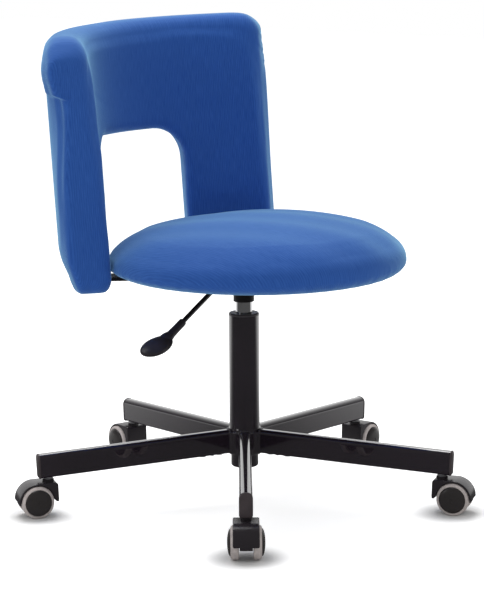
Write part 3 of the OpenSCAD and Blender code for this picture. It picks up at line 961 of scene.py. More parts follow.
def staple_repeater(finish: Finish, count: int, crown: float, wire: float) -> Repeater:
    """Sets staples crosswise along a closed path.

    Args:
        finish: The staples' finish.
        count: How many there are.
        crown: A staple's width.
        wire: Its wire's thickness.

    Returns:
        The tree.
    """
    rep = Repeater("staples", {"Count": count, "Crown": crown, "Wire": wire, "Skew": 0.16, "Seed": 7})
    dots = rep.along("COUNT", {"Count": rep.given("Count")})
    bar = rep.box((rep.given("Wire"), rep.given("Crown"), rep.given("Wire")))
    skew = rep.turned(rep.chance(rep.given("Skew") * -1.0, rep.given("Skew")))
    tangent = rep.maker.add("FunctionNodeAlignRotationToVector", {"axis": "X"}, {"Vector": dots.outputs[1]})
    both = rep.maker.add("FunctionNodeRotateRotation", {"rotation_space": "LOCAL"}, {0: tangent.outputs[0], 1: skew})
    return rep.close(dots, bar, {"Rotation": both.outputs[0]}, finish)


def spoke_repeater(finish: Finish, count: int, inner: float, outer: float, thick: float, deep: float) -> Repeater:
    """Sets ribs like spokes round the origin, in the plane of X and Y.

    Args:
        finish: The ribs' finish.
        count: How many there are.
        inner: The radius where they begin.
        outer: The radius where they end.
        thick: A rib's thickness.
        deep: A rib's depth along the axis.

    Returns:
        The tree.
    """
    rep = Repeater("spokes", {"Count": count, "Inner": inner, "Outer": outer, "Thickness": thick, "Depth": deep})
    start, end, depth = rep.given("Inner"), rep.given("Outer"), rep.given("Depth")
    rib = rep.box((end - start, rep.given("Thickness"), depth))
    out = rep.maker.add("ShaderNodeCombineXYZ", {}, {0: (end + start) * 0.5, 2: depth * 0.5})
    placed = rep.maker.add("GeometryNodeTransform", {}, {"Geometry": rib, "Translation": out.outputs[0]})
    dots = rep.maker.add("GeometryNodePoints", {}, {"Count": rep.given("Count")})
    angle = rep.maker.scalar("GeometryNodeInputIndex") * (2 * math.pi / rep.given("Count"))
    return rep.close(dots, placed.outputs[0], {"Rotation": rep.turned(angle)}, finish)


# ---------------------------------------------------------------- soft goods

@dataclass
class Stuffing:
    """How a padded cover is puffed by Blender's cloth."""

    voxel: float = 0.005
    pressure: float = 4.0
    cap: float = 0.006
    start: float = 0.0015
    frames: int = 20
    rounds: int = 60
    stiffness: float = 25.0
    shear: float = 8.0
    bending: float = 0.6
    quality: int = 5
    mass: float = 0.3

    def remesh(self, piece: bpy.types.Object) -> bpy.types.Object:
        """Rebuilds a closed form as an even skin.

        Args:
            piece: The closed form.

        Returns:
            The same object.
        """
        mod = piece.modifiers.new("skin", "REMESH")
        mod.mode, mod.voxel_size, mod.adaptivity = "VOXEL", self.voxel, 0.0
        return frozen(piece)

    def puff(self, piece: bpy.types.Object, held: np.ndarray) -> bpy.types.Object:
        """Inflates the skin for some frames and keeps the result.

        Args:
            piece: The skin.
            held: How firmly each vertex is held, from 0 to 1.

        Returns:
            The same object, puffed.
        """
        normals = coords(piece, "normal")
        before = coords(piece) - normals * (self.start * (1 - held))[:, None]
        set_coords(piece, before)
        group = piece.vertex_groups.new(name="held")
        for level in np.unique(np.round(held, 1)):
            if level > 0:
                group.add([int(i) for i in np.nonzero(np.round(held, 1) == level)[0]], float(level), "REPLACE")
        rise = ((self.inflated(piece) - before) * normals).sum(axis=1)
        rise = np.clip(evened(piece, rise, self.rounds), 0, self.cap) * (1 - held)
        log.info("%s puffed: %.1f mm at most, %.1f mm on average", piece.name, 1000 * float(rise.max()),
                 1000 * float(rise.mean()))
        set_coords(piece, before + normals * rise[:, None])
        piece.vertex_groups.clear()
        return piece

    def inflated(self, piece: bpy.types.Object) -> np.ndarray:
        """Runs the cloth under pressure.

        Args:
            piece: The skin, with the held vertices in its group.

        Returns:
            The vertices' places after the last frame.
        """
        mod = piece.modifiers.new("puff", "CLOTH")
        cloth = mod.settings
        cloth.quality, cloth.mass = self.quality, self.mass
        cloth.tension_stiffness = cloth.compression_stiffness = self.stiffness
        cloth.shear_stiffness, cloth.bending_stiffness = self.shear, self.bending
        cloth.use_pressure, cloth.uniform_pressure_force = True, self.pressure
        cloth.effector_weights.gravity = 0.0
        cloth.vertex_group_mass = "held"
        mod.collision_settings.use_collision = False
        mod.point_cache.frame_start, mod.point_cache.frame_end = 1, self.frames
        scene = bpy.context.scene
        for frame_number in range(1, self.frames + 1):
            scene.frame_set(frame_number)
        graph = bpy.context.evaluated_depsgraph_get()
        done = piece.evaluated_get(graph).to_mesh()
        after = np.empty(3 * len(done.vertices))
        done.vertices.foreach_get("co", after)
        piece.evaluated_get(graph).to_mesh_clear()
        piece.modifiers.remove(mod)
        scene.frame_set(1)
        return after.reshape(-1, 3)


def evened(piece: bpy.types.Object, values: np.ndarray, rounds: int, share: float = 0.6) -> np.ndarray:
    """Spreads a value of each vertex over its neighbours.

    Args:
        piece: The piece.
        values: One value for each vertex.
        rounds: How many times it is spread.
        share: How much of it comes from the neighbours each time.

    Returns:
        The evened values.
    """
    ends = np.empty(2 * len(piece.data.edges), dtype=int)
    piece.data.edges.foreach_get("vertices", ends)
    a, b = ends.reshape(-1, 2).T
    count = len(values)
    shared = np.maximum(np.bincount(a, minlength=count) + np.bincount(b, minlength=count), 1)
    for _ in range(rounds):
        around = np.bincount(a, values[b], count) + np.bincount(b, values[a], count)
        values = (1 - share) * values + share * around / shared
    return values


def seat_datum() -> float:
    """Returns the height of the seat board's underside."""
    return float(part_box("seat_board")[0][2])


def relaxed(piece: bpy.types.Object, rounds: int, factor: float = 0.5) -> bpy.types.Object:
    """Smooths a piece's skin a number of times.

    Args:
        piece: The object.
        rounds: How many times.
        factor: How strongly each time.

    Returns:
        The same object.
    """
    mod = piece.modifiers.new("relax", "SMOOTH")
    mod.factor, mod.iterations = factor, rounds
    return frozen(piece)


def doubled(piece: bpy.types.Object) -> bpy.types.Object:
    """Subdivides a skin once.

    Args:
        piece: The object.

    Returns:
        The same object.
    """
    mod = piece.modifiers.new("finer", "SUBSURF")
    mod.levels = mod.render_levels = 1
    return shade(frozen(piece))


def lay_cloth(piece: bpy.types.Object, layout: Callable[[np.ndarray], np.ndarray]) -> None:
    """Writes the piece's own map of the cloth, in metres.

    Args:
        piece: The piece.
        layout: Gives the map's rows from the vertices' places.
    """
    mesh = piece.data
    laid = layout(coords(piece))
    corners = np.empty(len(mesh.loops), dtype=int)
    mesh.loops.foreach_get("vertex_index", corners)
    uv = mesh.uv_layers.get("cloth") or mesh.uv_layers.new(name="cloth")
    uv.data.foreach_set("uv", laid[corners].ravel())


@dataclass
class Seat:
    """The round seat: a crowned cushion pulled round its board, with a stapled liner below."""

    centre_y: float = -0.028
    radius: float = 0.2434
    board_radius: float = 0.190
    bottom: float = field(default_factory=seat_datum)
    rim_rise: float = 0.019
    crown: float = 0.0732
    edge: float = 1.1
    fill: float = 0.8
    lean: float = 0.0205
    nod: float = -0.013
    look: float = math.radians(52)
    hem: float = 0.022
    pleat: float = 0.0005
    hem_sway: float = 0.0012
    cloth: float = 0.0006
    skirt: tuple[float, float] = (0.004, 0.030)
    ripple: float = 0.0006
    unevenness: float = 0.0009
    cloth_drape: float = 0.45
    liner_gap: float = 0.003
    liner_sag: float = 0.0012
    liner_drop: float = 0.0012
    liner_cut: float = 0.148
    liner_rim: float = 0.012
    foot_half: float = 0.21
    staple_inset: float = 0.006
    stuffing: Stuffing = field(default_factory=lambda: Stuffing(voxel=0.0048, cap=0.005, start=0.0012, pressure=3.0))

    @property
    def rim(self) -> float:
        """Returns the height of the widest line."""
        return self.bottom + self.rim_rise

    def profile(self) -> list[tuple[float, float]]:
        """Returns half of the cushion's section, from the middle of its underside to its top.

        Returns:
            The section's points.
        """
        low, under = self.board_radius, self.bottom + self.cloth
        points = [(0.0, under), (0.08, under), (0.15, under), (low - 0.004, under)]
        points += [(low + (self.radius - low) * math.sin(a), self.rim - (self.rim - under) * math.cos(a))
                   for a in (math.pi / 2 * i / 10 for i in range(1, 11))]
        points += [(self.radius * math.cos(a) ** self.edge, self.rim + self.crown * math.sin(a) ** self.fill)
                   for a in (math.pi / 2 * i / 22 for i in range(1, 22))]
        return points + [(0.0, self.rim + self.crown)]

    def cushion(self) -> bpy.types.Object:
        """Makes the cushion.

        Returns:
            The padded piece.
        """
        profile, steps = self.profile(), 96
        points, faces = [(0, self.centre_y, profile[0][1]), (0, self.centre_y, profile[-1][1])], []
        rings = profile[1:-1]
        for i in range(steps):
            a = 2 * math.pi * i / steps
            points += [(r * math.cos(a), self.centre_y + r * math.sin(a), z) for r, z in rings]
        size = len(rings)
        for i in range(steps):
            n = (i + 1) % steps
            faces.append((0, 2 + n * size, 2 + i * size))
            faces.append((1, 2 + i * size + size - 1, 2 + n * size + size - 1))
            faces += [(2 + i * size + j, 2 + n * size + j, 2 + n * size + j + 1, 2 + i * size + j + 1)
                      for j in range(size - 1)]
        pad = outward(new_object("seat_pad", points, faces, CLOTH))
        self.stuffing.remesh(pad)
        relaxed(pad, 2)
        rows = coords(pad)
        held = 1 - smoothstep(self.bottom + 0.003, self.bottom + 0.012, rows[:, 2])
        self.stuffing.puff(pad, held)
        rows = coords(pad)
        set_coords(pad, self.settle(rows))
        doubled(pad)
        lay_cloth(pad, self.layout)
        return pad

    def skirt_share(self, z: np.ndarray) -> np.ndarray:
        """Returns how free the cloth is at a height: 0 at the board and 1 above the skirt."""
        return smoothstep(self.bottom + self.skirt[0], self.bottom + self.skirt[1], z)

    def settle(self, rows: np.ndarray) -> np.ndarray:
        """Gives the cushion its lean, its pulled rim and a slightly sat-in top.

        Args:
            rows: The vertices.

        Returns:
            Their new places.
        """
        x, y = rows[:, 0], rows[:, 1] - self.centre_y
        side = x * math.cos(self.look) - y * math.sin(self.look)
        far = x * math.sin(self.look) + y * math.cos(self.look)
        free = self.skirt_share(rows[:, 2])
        rows = rows.copy()
        rows[:, 2] += free * (side * self.lean + far * self.nod)
        angle, r = np.arctan2(y, x), np.hypot(x, y)
        low = smoothstep(0.20, 0.232, r) * (1 - self.skirt_share(rows[:, 2]))
        pull = self.ripple * low * (np.sin(47 * angle) + 0.6 * np.sin(83 * angle + 1.3))
        waves = np.sin(3 * angle + 0.7) * smoothstep(0.05, 0.2, r) + np.sin(63 * x + 20 * y)
        rows[:, 0] += pull * x / np.maximum(r, 1e-6)
        rows[:, 1] += pull * y / np.maximum(r, 1e-6)
        rows[:, 2] += self.unevenness * free * waves
        return rows

    def layout(self, rows: np.ndarray) -> np.ndarray:
        """Lays the cloth over the crown from its middle, its ribs from front to back.

        Args:
            rows: The vertices.

        Returns:
            The map's rows.
        """
        x, y = rows[:, 0], rows[:, 1] - self.centre_y
        r = np.hypot(x, y)
        drape = self.cloth_drape * np.clip(self.rim + self.crown - rows[:, 2], 0, None)
        run = np.where(rows[:, 2] > self.rim, r + drape, 2 * self.radius - r + drape)
        return np.stack([run * x / np.maximum(r, 1e-6), run * y / np.maximum(r, 1e-6)], axis=1)

    def hem_layout(self, rows: np.ndarray) -> np.ndarray:
        """Lays the hem's cloth round the board.

        Args:
            rows: The vertices.

        Returns:
            The map's rows.
        """
        x, y = rows[:, 0], rows[:, 1] - self.centre_y
        return np.stack([np.arctan2(y, x) * self.board_radius, np.hypot(x, y)], axis=1)

    def hem_ring(self) -> bpy.types.Object:
        """Makes the cloth's turned-under edge below the board, with its small pleats.

        Returns:
            The hem.
        """
        points, steps = [], 240
        rings = ((self.board_radius + 0.003, 0.0005), (self.board_radius - 0.004, -0.0002),
                 (self.board_radius - self.hem, -0.0002), (self.board_radius - self.hem, 0.0006),
                 (self.board_radius - 0.004, 0.0008))
        for i in range(steps):
            a = 2 * math.pi * i / steps
            pleat = self.pleat * (math.sin(41 * a) + 0.5 * math.sin(67 * a + 0.4))
            for r, z in rings:
                sway = self.hem_sway * math.sin(29 * a) if r < self.board_radius - 0.01 else 0.0
                points.append(((r + sway) * math.cos(a), self.centre_y + (r + sway) * math.sin(a),
                               self.bottom + z - self.cloth + min(pleat, 0.0)))
        faces = skin_faces(steps, len(rings), round_again=True)
        # the hem wears the seat's cloth painted darker: painted shade under the board
        ring = shade(outward(new_object("seat_hem", points, faces, CLOTH_HEM_PAINTED_SHADE)), 40)
        lay_cloth(ring, self.hem_layout)
        return ring

    def liner_radius(self, angle: float, feet: Sequence[float]) -> float:
        """Returns how far the liner reaches at an angle, cut back at the brackets' feet."""
        apart = [abs((angle - place + math.pi) % (2 * math.pi) - math.pi) for place in feet]
        return self.liner_cut if min(apart) < self.foot_half else self.board_radius - self.liner_rim

    def liner(self, plate_half: float, feet: Sequence[float]) -> tuple[bpy.types.Object, list[Point]]:
        """Makes the bonded cloth under the seat, round the square mounting plate.

        Args:
            plate_half: Half of the plate's width.
            feet: The angle of each bracket's foot about the seat's centre.

        Returns:
            The liner, and the points that its staples follow.
        """
        steps, points, staples = 240, [], []
        z = self.bottom - self.liner_drop
        gap = plate_half + self.liner_gap
        for i in range(steps):
            a = 2 * math.pi * i / steps
            c, s = math.cos(a), math.sin(a)
            inner = min((math.copysign(gap, way) - start) / way
                        for way, start in ((c, 0.0), (s, self.centre_y)) if abs(way) > 1e-9)
            outer = self.liner_radius(a, feet)
            for share in (0.0, 0.5, 1.0):
                r = inner + (outer - inner) * share
                points.append((r * c, self.centre_y + r * s, z - self.liner_sag * math.sin(math.pi * share)))
            r = outer - self.staple_inset
            staples.append((r * c, self.centre_y + r * s, z - 0.0007))
        faces = skin_faces(steps, 3, round_again=True, open_rings=True)
        cover = new_object("seat_liner", points, faces, LINER)
        solid = cover.modifiers.new("cloth", "SOLIDIFY")
        solid.thickness, solid.offset = 0.0005, 0.0
        return shade(outward(frozen(cover)), 40), staples

    def build(self) -> None:
        """Builds the seat's soft pieces and hangs them on the seat's body."""
        pad = self.cushion()
        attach(pad, "seat")
        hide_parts("seat_cushion")
        ring = self.hem_ring()
        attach(ring, "seat")
        low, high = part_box("mechanism_plate")
        feet = []
        for name in ("back_bracket_right", "back_bracket_left"):
            a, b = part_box(name)
            feet.append(math.atan2((a[1] + b[1]) / 2 - self.centre_y, (a[0] + b[0]) / 2))
        cover, staple_path = self.liner((high[0] - low[0]) / 2, feet)
        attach(cover, "seat")
        path = path_object("seat_staples", [staple_path], STAPLE_STEEL)
        staples = staple_repeater(STAPLE_STEEL, count=64, crown=0.009, wire=0.0007).run(path)
        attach(staples, "seat")
        log.info("seat: pad, hem, liner and staples")


@dataclass(frozen=True)
class Gather:
    """A small fold that runs in from the cover's outer edge."""

    height: float
    depth: float
    reach: float


@dataclass
class Back:
    """The barrel back: a curved bridge on two legs, rolled over at the top of both ends.

    A pair of sizes that shape the cover holds the near leg's and then the far leg's, and a ramp holds
    the heights between which something sets in.
    """

    centre_y: float = -0.028
    inner: float = 0.2515
    outer: float = 0.3145
    middle: float = 0.283
    half_angle: float = math.radians(58.3)
    recline: float = math.tan(math.radians(4.5))
    pivot_z: float = 0.399
    bottom: float = 0.3612
    top: float = 0.7765
    opening_top: float = 0.5962
    jamb_in: float = 0.4491
    jamb_out: float = 0.5035
    far_jamb_inset: float = 0.0018
    top_corner: float = 0.034
    foot_corner: float = 0.022
    opening_corner: float = 0.040
    opening_far_corner: float = 0.058
    hem_z: float = 0.676
    roll_z: float = 0.722
    roll_spread: float = 0.036
    gathers: tuple[Gather, ...] = (Gather(0.684, 0.0017, 0.55), Gather(0.6925, 0.0012, 0.75),
                                   Gather(0.701, 0.0020, 0.95), Gather(0.7115, 0.0010, 0.6),
                                   Gather(0.721, 0.0014, 0.8), Gather(0.7355, 0.0007, 0.5))
    roll_out: tuple[float, float] = (0.0100, 0.0065)
    roll_past: tuple[float, float] = (0.0035, -0.0020)
    hem_out: float = 0.0018
    hem_past: float = 0.0016
    leg_in: tuple[float, float] = (0.0122, 0.0050)
    leg_past: tuple[float, float] = (0.0012, -0.0022)
    far_past: float = 0.0018
    inner_lean: float = 0.0048
    seat_side_lean: float = 0.0026
    crease_z: float = 0.662
    hollow_depth: float = 0.0011
    crease_depth: float = 0.0009
    foot_ramp: tuple[float, float] = (0.362, 0.418)
    foot_draw: float = 0.0125
    foot_narrowing: float = 0.005
    tuck_ramp: tuple[float, float] = (0.366, 0.389)
    tuck_waves: tuple[float, float] = (0.0011, 0.0010)
    corner_ramp: tuple[float, float] = (0.70, 0.775)
    corner_draw: tuple[float, float] = (0.0095, 0.0030)
    top_ramp: tuple[float, float] = (0.60, 0.745)
    top_shift: tuple[float, float] = (-0.0016, -0.0006)
    lean: float = 0.029
    drop: float = field(default_factory=lambda: seat_datum() - 0.380)
    stuffing: Stuffing = field(default_factory=lambda: Stuffing(voxel=0.0046, cap=0.005, start=0.0006, pressure=4.0))

    @property
    def thick(self) -> float:
        """Returns the cover's thickness."""
        return self.outer - self.inner

    def outline(self) -> list[tuple[float, ...]]:
        """Goes round the unrolled cover.

        Returns:
            Rows of place (s, z), outward normal (s, z), inner edge radius, outer edge radius and
            the share of the opening's flare.
        """
        w, jamb = self.half_angle * self.middle, self.jamb_in * self.middle
        far_jamb = jamb - self.far_jamb_inset
        top, low, door = self.top, self.bottom, self.opening_top
        rc, rb, ro, far_ro = self.top_corner, self.foot_corner, self.opening_corner, self.opening_far_corner
        end, crown, foot, side, leg = (0.027, 0.010), (0.027, 0.024), (0.012, 0.012), (0.013, 0.017), (0.012, 0.010)
        rows: list[tuple[float, ...]] = []

        def corner(cs: float, cz: float, radius: float, a0: float, a1: float, first: tuple[float, float],
                   last: tuple[float, float], inside: bool = False, flare: float = 0.0) -> None:
            """Adds one corner, its edge radii changing from the first side's to the last side's.

            Args:
                cs: The corner's centre across.
                cz: The corner's centre upwards.
                radius: Its radius.
                a0: Its first angle in degrees.
                a1: Its last angle in degrees.
                first: The first side's inner and outer edge radii.
                last: The last side's edge radii.
                inside: Whether the cover lies outside the arc, as round the opening.
                flare: The share of the opening's flare.
            """
            sign = -1 if inside else 1
            for t in (i / 8 for i in range(9)):
                a = math.radians(a0 + (a1 - a0) * t)
                c, s = math.cos(a), math.sin(a)
                edges = [first[k] + (last[k] - first[k]) * t for k in (0, 1)]
                rows.append((cs + radius * c, cz + radius * s, sign * c, sign * s, *edges, flare))

        corner(w - rb, low + rb, rb, -90, 0, foot, leg)
        corner(w - rc, top - rc, rc, 0, 90, end, crown)
        corner(-w + rc, top - rc, rc, 90, 180, crown, end)
        corner(-w + rb, low + rb, rb, 180, 270, leg, foot)
        corner(-jamb - rb, low + rb, rb, 270, 360, foot, side, flare=-1.0)
        corner(-jamb + ro, door - ro, ro, 180, 90, side, side, inside=True, flare=-1.0)
        corner(far_jamb - far_ro, door - far_ro, far_ro, 90, 0, side, side, inside=True, flare=1.0)
        corner(far_jamb + rb, low + rb, rb, 180, 270, side, foot, flare=1.0)
        return rows

    def flat_form(self) -> bpy.types.Object:
        """Makes the unrolled cover: s across, r through its thickness and z up.

        Returns:
            The unrolled cover.
        """
        flare = (self.jamb_out - self.jamb_in) * self.middle
        turns = [math.pi / 2 * i / 6 for i in range(7)]
        rings = []
        for inward, a in [(True, a) for a in turns] + [(False, a) for a in turns]:
            ring = []
            for s, z, ns, nz, e_in, e_out, f in self.outline():
                if inward:
                    inset, r = e_in * (1 - math.sin(a)), self.inner + e_in * (1 - math.cos(a))
                else:
                    inset, r = e_out * (1 - math.cos(a)), self.outer - e_out * (1 - math.sin(a))
                shift = f * flare * (r - self.inner) / self.thick
                ring.append((s - inset * ns + shift, r, z - inset * nz))
            rings.append(ring)
        form = lofted("back_pad", rings, CLOTH)
        bm = bmesh.new()
        bm.from_mesh(form.data)
        bmesh.ops.triangulate(bm, faces=[f for f in bm.faces if len(f.verts) > 4])
        bmesh.ops.recalc_face_normals(bm, faces=bm.faces)
        bm.to_mesh(form.data)
        bm.free()
        return form

    def place(self, phi: np.ndarray, r: np.ndarray, z: np.ndarray) -> np.ndarray:
        """Turns angle, radius and height into places in the frame.

        Args:
            phi: The angles.
            r: The radii.
            z: The heights.

        Returns:
            One row for each point.
        """
        return np.stack([r * np.sin(phi), self.centre_y + r * np.cos(phi) + (z - self.pivot_z) * self.recline,
                         z + self.drop], axis=1)

    def unplace(self, rows: np.ndarray) -> tuple[np.ndarray, np.ndarray, np.ndarray]:
        """Turns places in the frame into angle, radius and height.

        Args:
            rows: The places.

        Returns:
            The angles, the radii and the heights.
        """
        z = rows[:, 2] - self.drop
        y = rows[:, 1] - self.centre_y - (z - self.pivot_z) * self.recline
        return np.arctan2(rows[:, 0], y), np.hypot(rows[:, 0], y), z

    def tailor(self, rows: np.ndarray) -> np.ndarray:
        """Gives the cover its rolls, hems, gathers, tapered legs and its slight lean.

        Args:
            rows: The vertices.

        Returns:
            Their new places.
        """
        phi, r, z = self.unplace(rows)
        s = phi * self.middle
        off = np.clip(self.half_angle * self.middle - np.abs(s), 0, None)
        deep = np.clip((r - self.inner) / self.thick, 0, 1.2)
        near_end = 1 - smoothstep(0.012, 0.085, off)
        face = 1 - smoothstep(0.002, 0.016, off)
        back_side = smoothstep(0.35, 0.95, deep)
        far = smoothstep(-0.05, 0.05, s)

        def by_leg(pair: tuple[float, float]) -> np.ndarray:
            """Goes from the near leg's size to the far leg's."""
            return pair[0] + (pair[1] - pair[0]) * far

        # the roll over the upper end, and the tighter leg below its hem
        above = smoothstep(self.hem_z - 0.0015, self.hem_z + 0.002, z + 0.012 * (1 - deep) - 0.004)
        swell = np.exp(-((z - self.roll_z) / self.roll_spread) ** 2)
        below = (1 - above) * smoothstep(0.50, self.hem_z - 0.01, z)
        out = by_leg(self.roll_out) * swell + self.hem_out * above - by_leg(self.leg_in) * below
        r += near_end * back_side * out
        # the near leg's inner face, which leans towards the seat
        beside_seat = smoothstep(0.365, 0.385, z) * (1 - smoothstep(0.44, 0.50, z))
        lean_in = self.inner_lean * (1 - smoothstep(0.57, 0.64, z)) + self.seat_side_lean * beside_seat
        r -= (1 - far) * near_end * (1 - back_side) * lean_in
        past = (by_leg(self.roll_past) * swell + self.hem_past * above - by_leg(self.leg_past) * below
                + self.far_past * far * (1 - smoothstep(0.70, 0.74, z)))
        s += np.sign(s) * (near_end * smoothstep(0.25, 0.8, deep) * past) * face
        for number, gather in enumerate(self.gathers):
            fold = self.fold(number, gather, r, z, deep, off)
            s -= np.sign(s) * fold * face
            r -= fold * (1 - face) * back_side
        # soft hollows and long creases over the inner face
        inside = 1 - smoothstep(0.0, 0.3, deep)
        wave = np.sin(2 * math.pi * (z - 0.42) / 0.19 + 3.1 * phi)
        r += inside * self.hollow_depth * wave * smoothstep(0.42, 0.5, z)
        along = z - self.crease_z - 0.35 * (np.abs(s) - 0.13)
        r += inside * self.crease_depth * (np.exp(-(along / 0.006) ** 2) * np.exp(-((np.abs(s) - 0.15) / 0.05) ** 2))
        # legs: taper and tuck at the foot
        foot = 1 - smoothstep(*self.foot_ramp, z)
        r -= self.foot_draw * foot * smoothstep(0.45, 1.0, deep) ** 1.4
        s -= np.sign(s) * self.foot_narrowing * foot * (1 - smoothstep(0.0, 0.05, off))
        tuck = 1 - smoothstep(*self.tuck_ramp, z)
        r += self.tuck_waves[0] * tuck * np.sin(190 * s + 30 * z) * back_side
        s += self.tuck_waves[1] * tuck * np.sin(230 * r) * face
        # drawn-in upper corners, and the whole top a little higher on the left
        z -= by_leg(self.corner_draw) * smoothstep(*self.corner_ramp, z) * (1 - smoothstep(0.0, 0.055, off))
        z += (self.lean * s + by_leg(self.top_shift)) * smoothstep(*self.top_ramp, z)
        return self.place(s / self.middle, r, z)

    def fold(self, number: int, gather: Gather, r: np.ndarray, z: np.ndarray, deep: np.ndarray,
             off: np.ndarray) -> np.ndarray:
        """Works out how deep one gather sinks into the cover.

        Args:
            number: The gather's number, counted upwards.
            gather: Its size.
            r: The points' radii.
            z: Their heights.
            deep: How far they are through the thickness, from the inner face.
            off: How far they are from the cover's end.

        Returns:
            The depth at each point.
        """
        slope, wander = 0.30 + 0.03 * number, 0.0015 * np.sin(60 * r * (1 + 0.2 * number))
        line = z - gather.height - slope * (1 - deep) * self.thick - wander
        crease = np.exp(-(line / 0.0026) ** 2) - 0.45 * np.exp(-((line - 0.0052) / 0.003) ** 2)
        span = smoothstep(1 - gather.reach, 1 - 0.6 * gather.reach, deep) * (1 - smoothstep(0.0, 0.055, off))
        return crease * gather.depth * span

    def layout(self, rows: np.ndarray) -> np.ndarray:
        """Lays the cloth round the back with its ribs upright.

        Args:
            rows: The vertices.

        Returns:
            The map's rows.
        """
        phi, r, z = self.unplace(rows)
        off = np.clip(self.half_angle - np.abs(phi), 0, None)
        turn = (1 - smoothstep(0.01, 0.08, off)) * (r - self.inner) * np.sign(phi)
        return np.stack([phi * self.middle + turn, z], axis=1)

    def build(self) -> None:
        """Builds the back's cover and hangs it on the seat's body."""
        pad = self.flat_form()
        self.stuffing.remesh(pad)
        relaxed(pad, 2)
        rows = coords(pad)
        set_coords(pad, self.place(rows[:, 0] / self.middle, rows[:, 1], rows[:, 2]))
        outward(pad)
        _, r, z = self.unplace(coords(pad))
        low = 1 - smoothstep(0.375, 0.40, z)
        seat_side = (1 - smoothstep(0.0, 0.02, r - self.inner)) * (1 - smoothstep(0.43, 0.48, z))
        self.stuffing.puff(pad, np.clip(np.maximum(low, seat_side), 0, 1))
        set_coords(pad, self.tailor(coords(pad)))
        doubled(pad)
        lay_cloth(pad, self.layout)
        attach(pad, "seat")
        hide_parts("back_cushion")
        log.info("back: pad of %d faces", len(pad.data.polygons))


# ---------------------------------------------------------------- lever

@dataclass
class LeverHandle:
    """The moulded handle: a sleeve on the rod that widens into a leaning paddle."""

    pivot: Point = (-0.032, 0.0, 0.3598)
    run: float = 0.041
    bend: float = math.radians(27)
    bend_radius: float = 0.022
    reach: float = 0.126
    sleeve_radius: float = 0.0065
    sleeve_length: float = 0.044
    paddle_drop: float = math.radians(16)
    paddle_roll: float = math.radians(20)
    paddle_half: Point = (0.0330, 0.0185, 0.0062)
    paddle_past: float = 0.002
    paddle_shift: Point = (0, -0.0025, -0.0015)
    swell_past: float = 0.006
    swell_lift: float = 0.0022
    neck_half: Point = (0.019, 0.0095, 0.0072)
    neck_past: float = 0.009
    overlap: float = 0.006
    voxel: float = 0.0009

    def ball(self, centre: Vector, axes: Matrix, half: Point) -> bpy.types.Object:
        """Makes one rounded lump of the handle.

        Args:
            centre: Its middle.
            axes: Its own directions.
            half: Half of its length, width and thickness.

        Returns:
            The lump.
        """
        return lump("lump", 4, LEVER_PLASTIC,
                    lambda p: centre + axes @ Vector((p.x * half[0], p.y * half[1], p.z * half[2])))

    def sleeve(self, tip: Vector, along: Vector) -> bpy.types.Object:
        """Makes the sleeve on the rod's end.

        Args:
            tip: The rod's end.
            along: The rod's direction.

        Returns:
            The sleeve.
        """
        up = Vector((math.sin(self.bend), 0, -math.cos(self.bend)))
        turn = Matrix((up.cross(along), up, along)).transposed()
        half, r, steps = self.sleeve_length / 2, self.sleeve_radius, 40
        rings = [(r * 0.86, -half), (r, -half + 0.0016), (r * 1.02, 0.0), (r * 1.12, half)]
        middle, size = tip - along * half, len(rings)
        points, faces = [], []
        for i in range(steps):
            a, n = 2 * math.pi * i / steps, (i + 1) % steps
            points += [middle + turn @ Vector((q * math.cos(a), q * math.sin(a), z)) for q, z in rings]
            faces += [(i * size + j, n * size + j, n * size + j + 1, i * size + j + 1) for j in range(size - 1)]
            faces += [(steps * size, n * size, i * size), (steps * size + 1, i * size + size - 1, n * size + size - 1)]
        points += [middle - along * half, middle + along * half]
        return outward(new_object("sleeve", points, faces, LEVER_PLASTIC))

    def build(self) -> None:
        """Builds the handle and hangs it on the lever's body."""
        along = Vector((-math.cos(self.bend), 0, -math.sin(self.bend)))
        start = Vector(self.pivot) + Vector((-self.run - self.bend_radius * math.sin(self.bend), 0,
                                             -self.bend_radius * (1 - math.cos(self.bend))))
        tip = start + along * self.reach
        length_dir = Vector((-math.cos(self.paddle_drop), 0, -math.sin(self.paddle_drop)))
        tilt = length_dir.cross(Vector((0, 1, 0))) * -math.sin(self.paddle_roll)
        across = Vector((0, math.cos(self.paddle_roll), 0)) + tilt
        across.normalize()
        normal = length_dir.cross(across).normalized()
        axes = Matrix((length_dir, across, normal)).transposed()
        hx, hy, hz = self.paddle_half
        root = tip - along * self.overlap
        centre = root + length_dir * (hx + self.paddle_past) + Vector(self.paddle_shift)
        handle = joined("lever_grip", [
            self.sleeve(tip, along),
            self.ball(centre, axes, (hx, hy, hz)),
            self.ball(root + length_dir * self.neck_past, axes, self.neck_half),
            self.ball(centre + length_dir * self.swell_past - normal * self.swell_lift, axes,
                      (hx - 0.002, hy - 0.0008, hz))])
        skin = handle.modifiers.new("skin", "REMESH")
        skin.mode, skin.voxel_size = "VOXEL", self.voxel
        relaxed(frozen(handle), 6, 0.6)
        shade(handle)
        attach(handle, "lever")
        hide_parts("lever_handle")
        log.info("lever: grip of %d faces", len(handle.data.polygons))


# ---------------------------------------------------------------- base

class Side(Enum):
    """The side of a caster that a wheel is on."""

    LEFT = 1
    RIGHT = -1


def middle_of(node: str) -> Vector:
    """Returns the middle of a solid's box."""
    return Vector([(a + b) / 2 for a, b in zip(*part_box(node))])


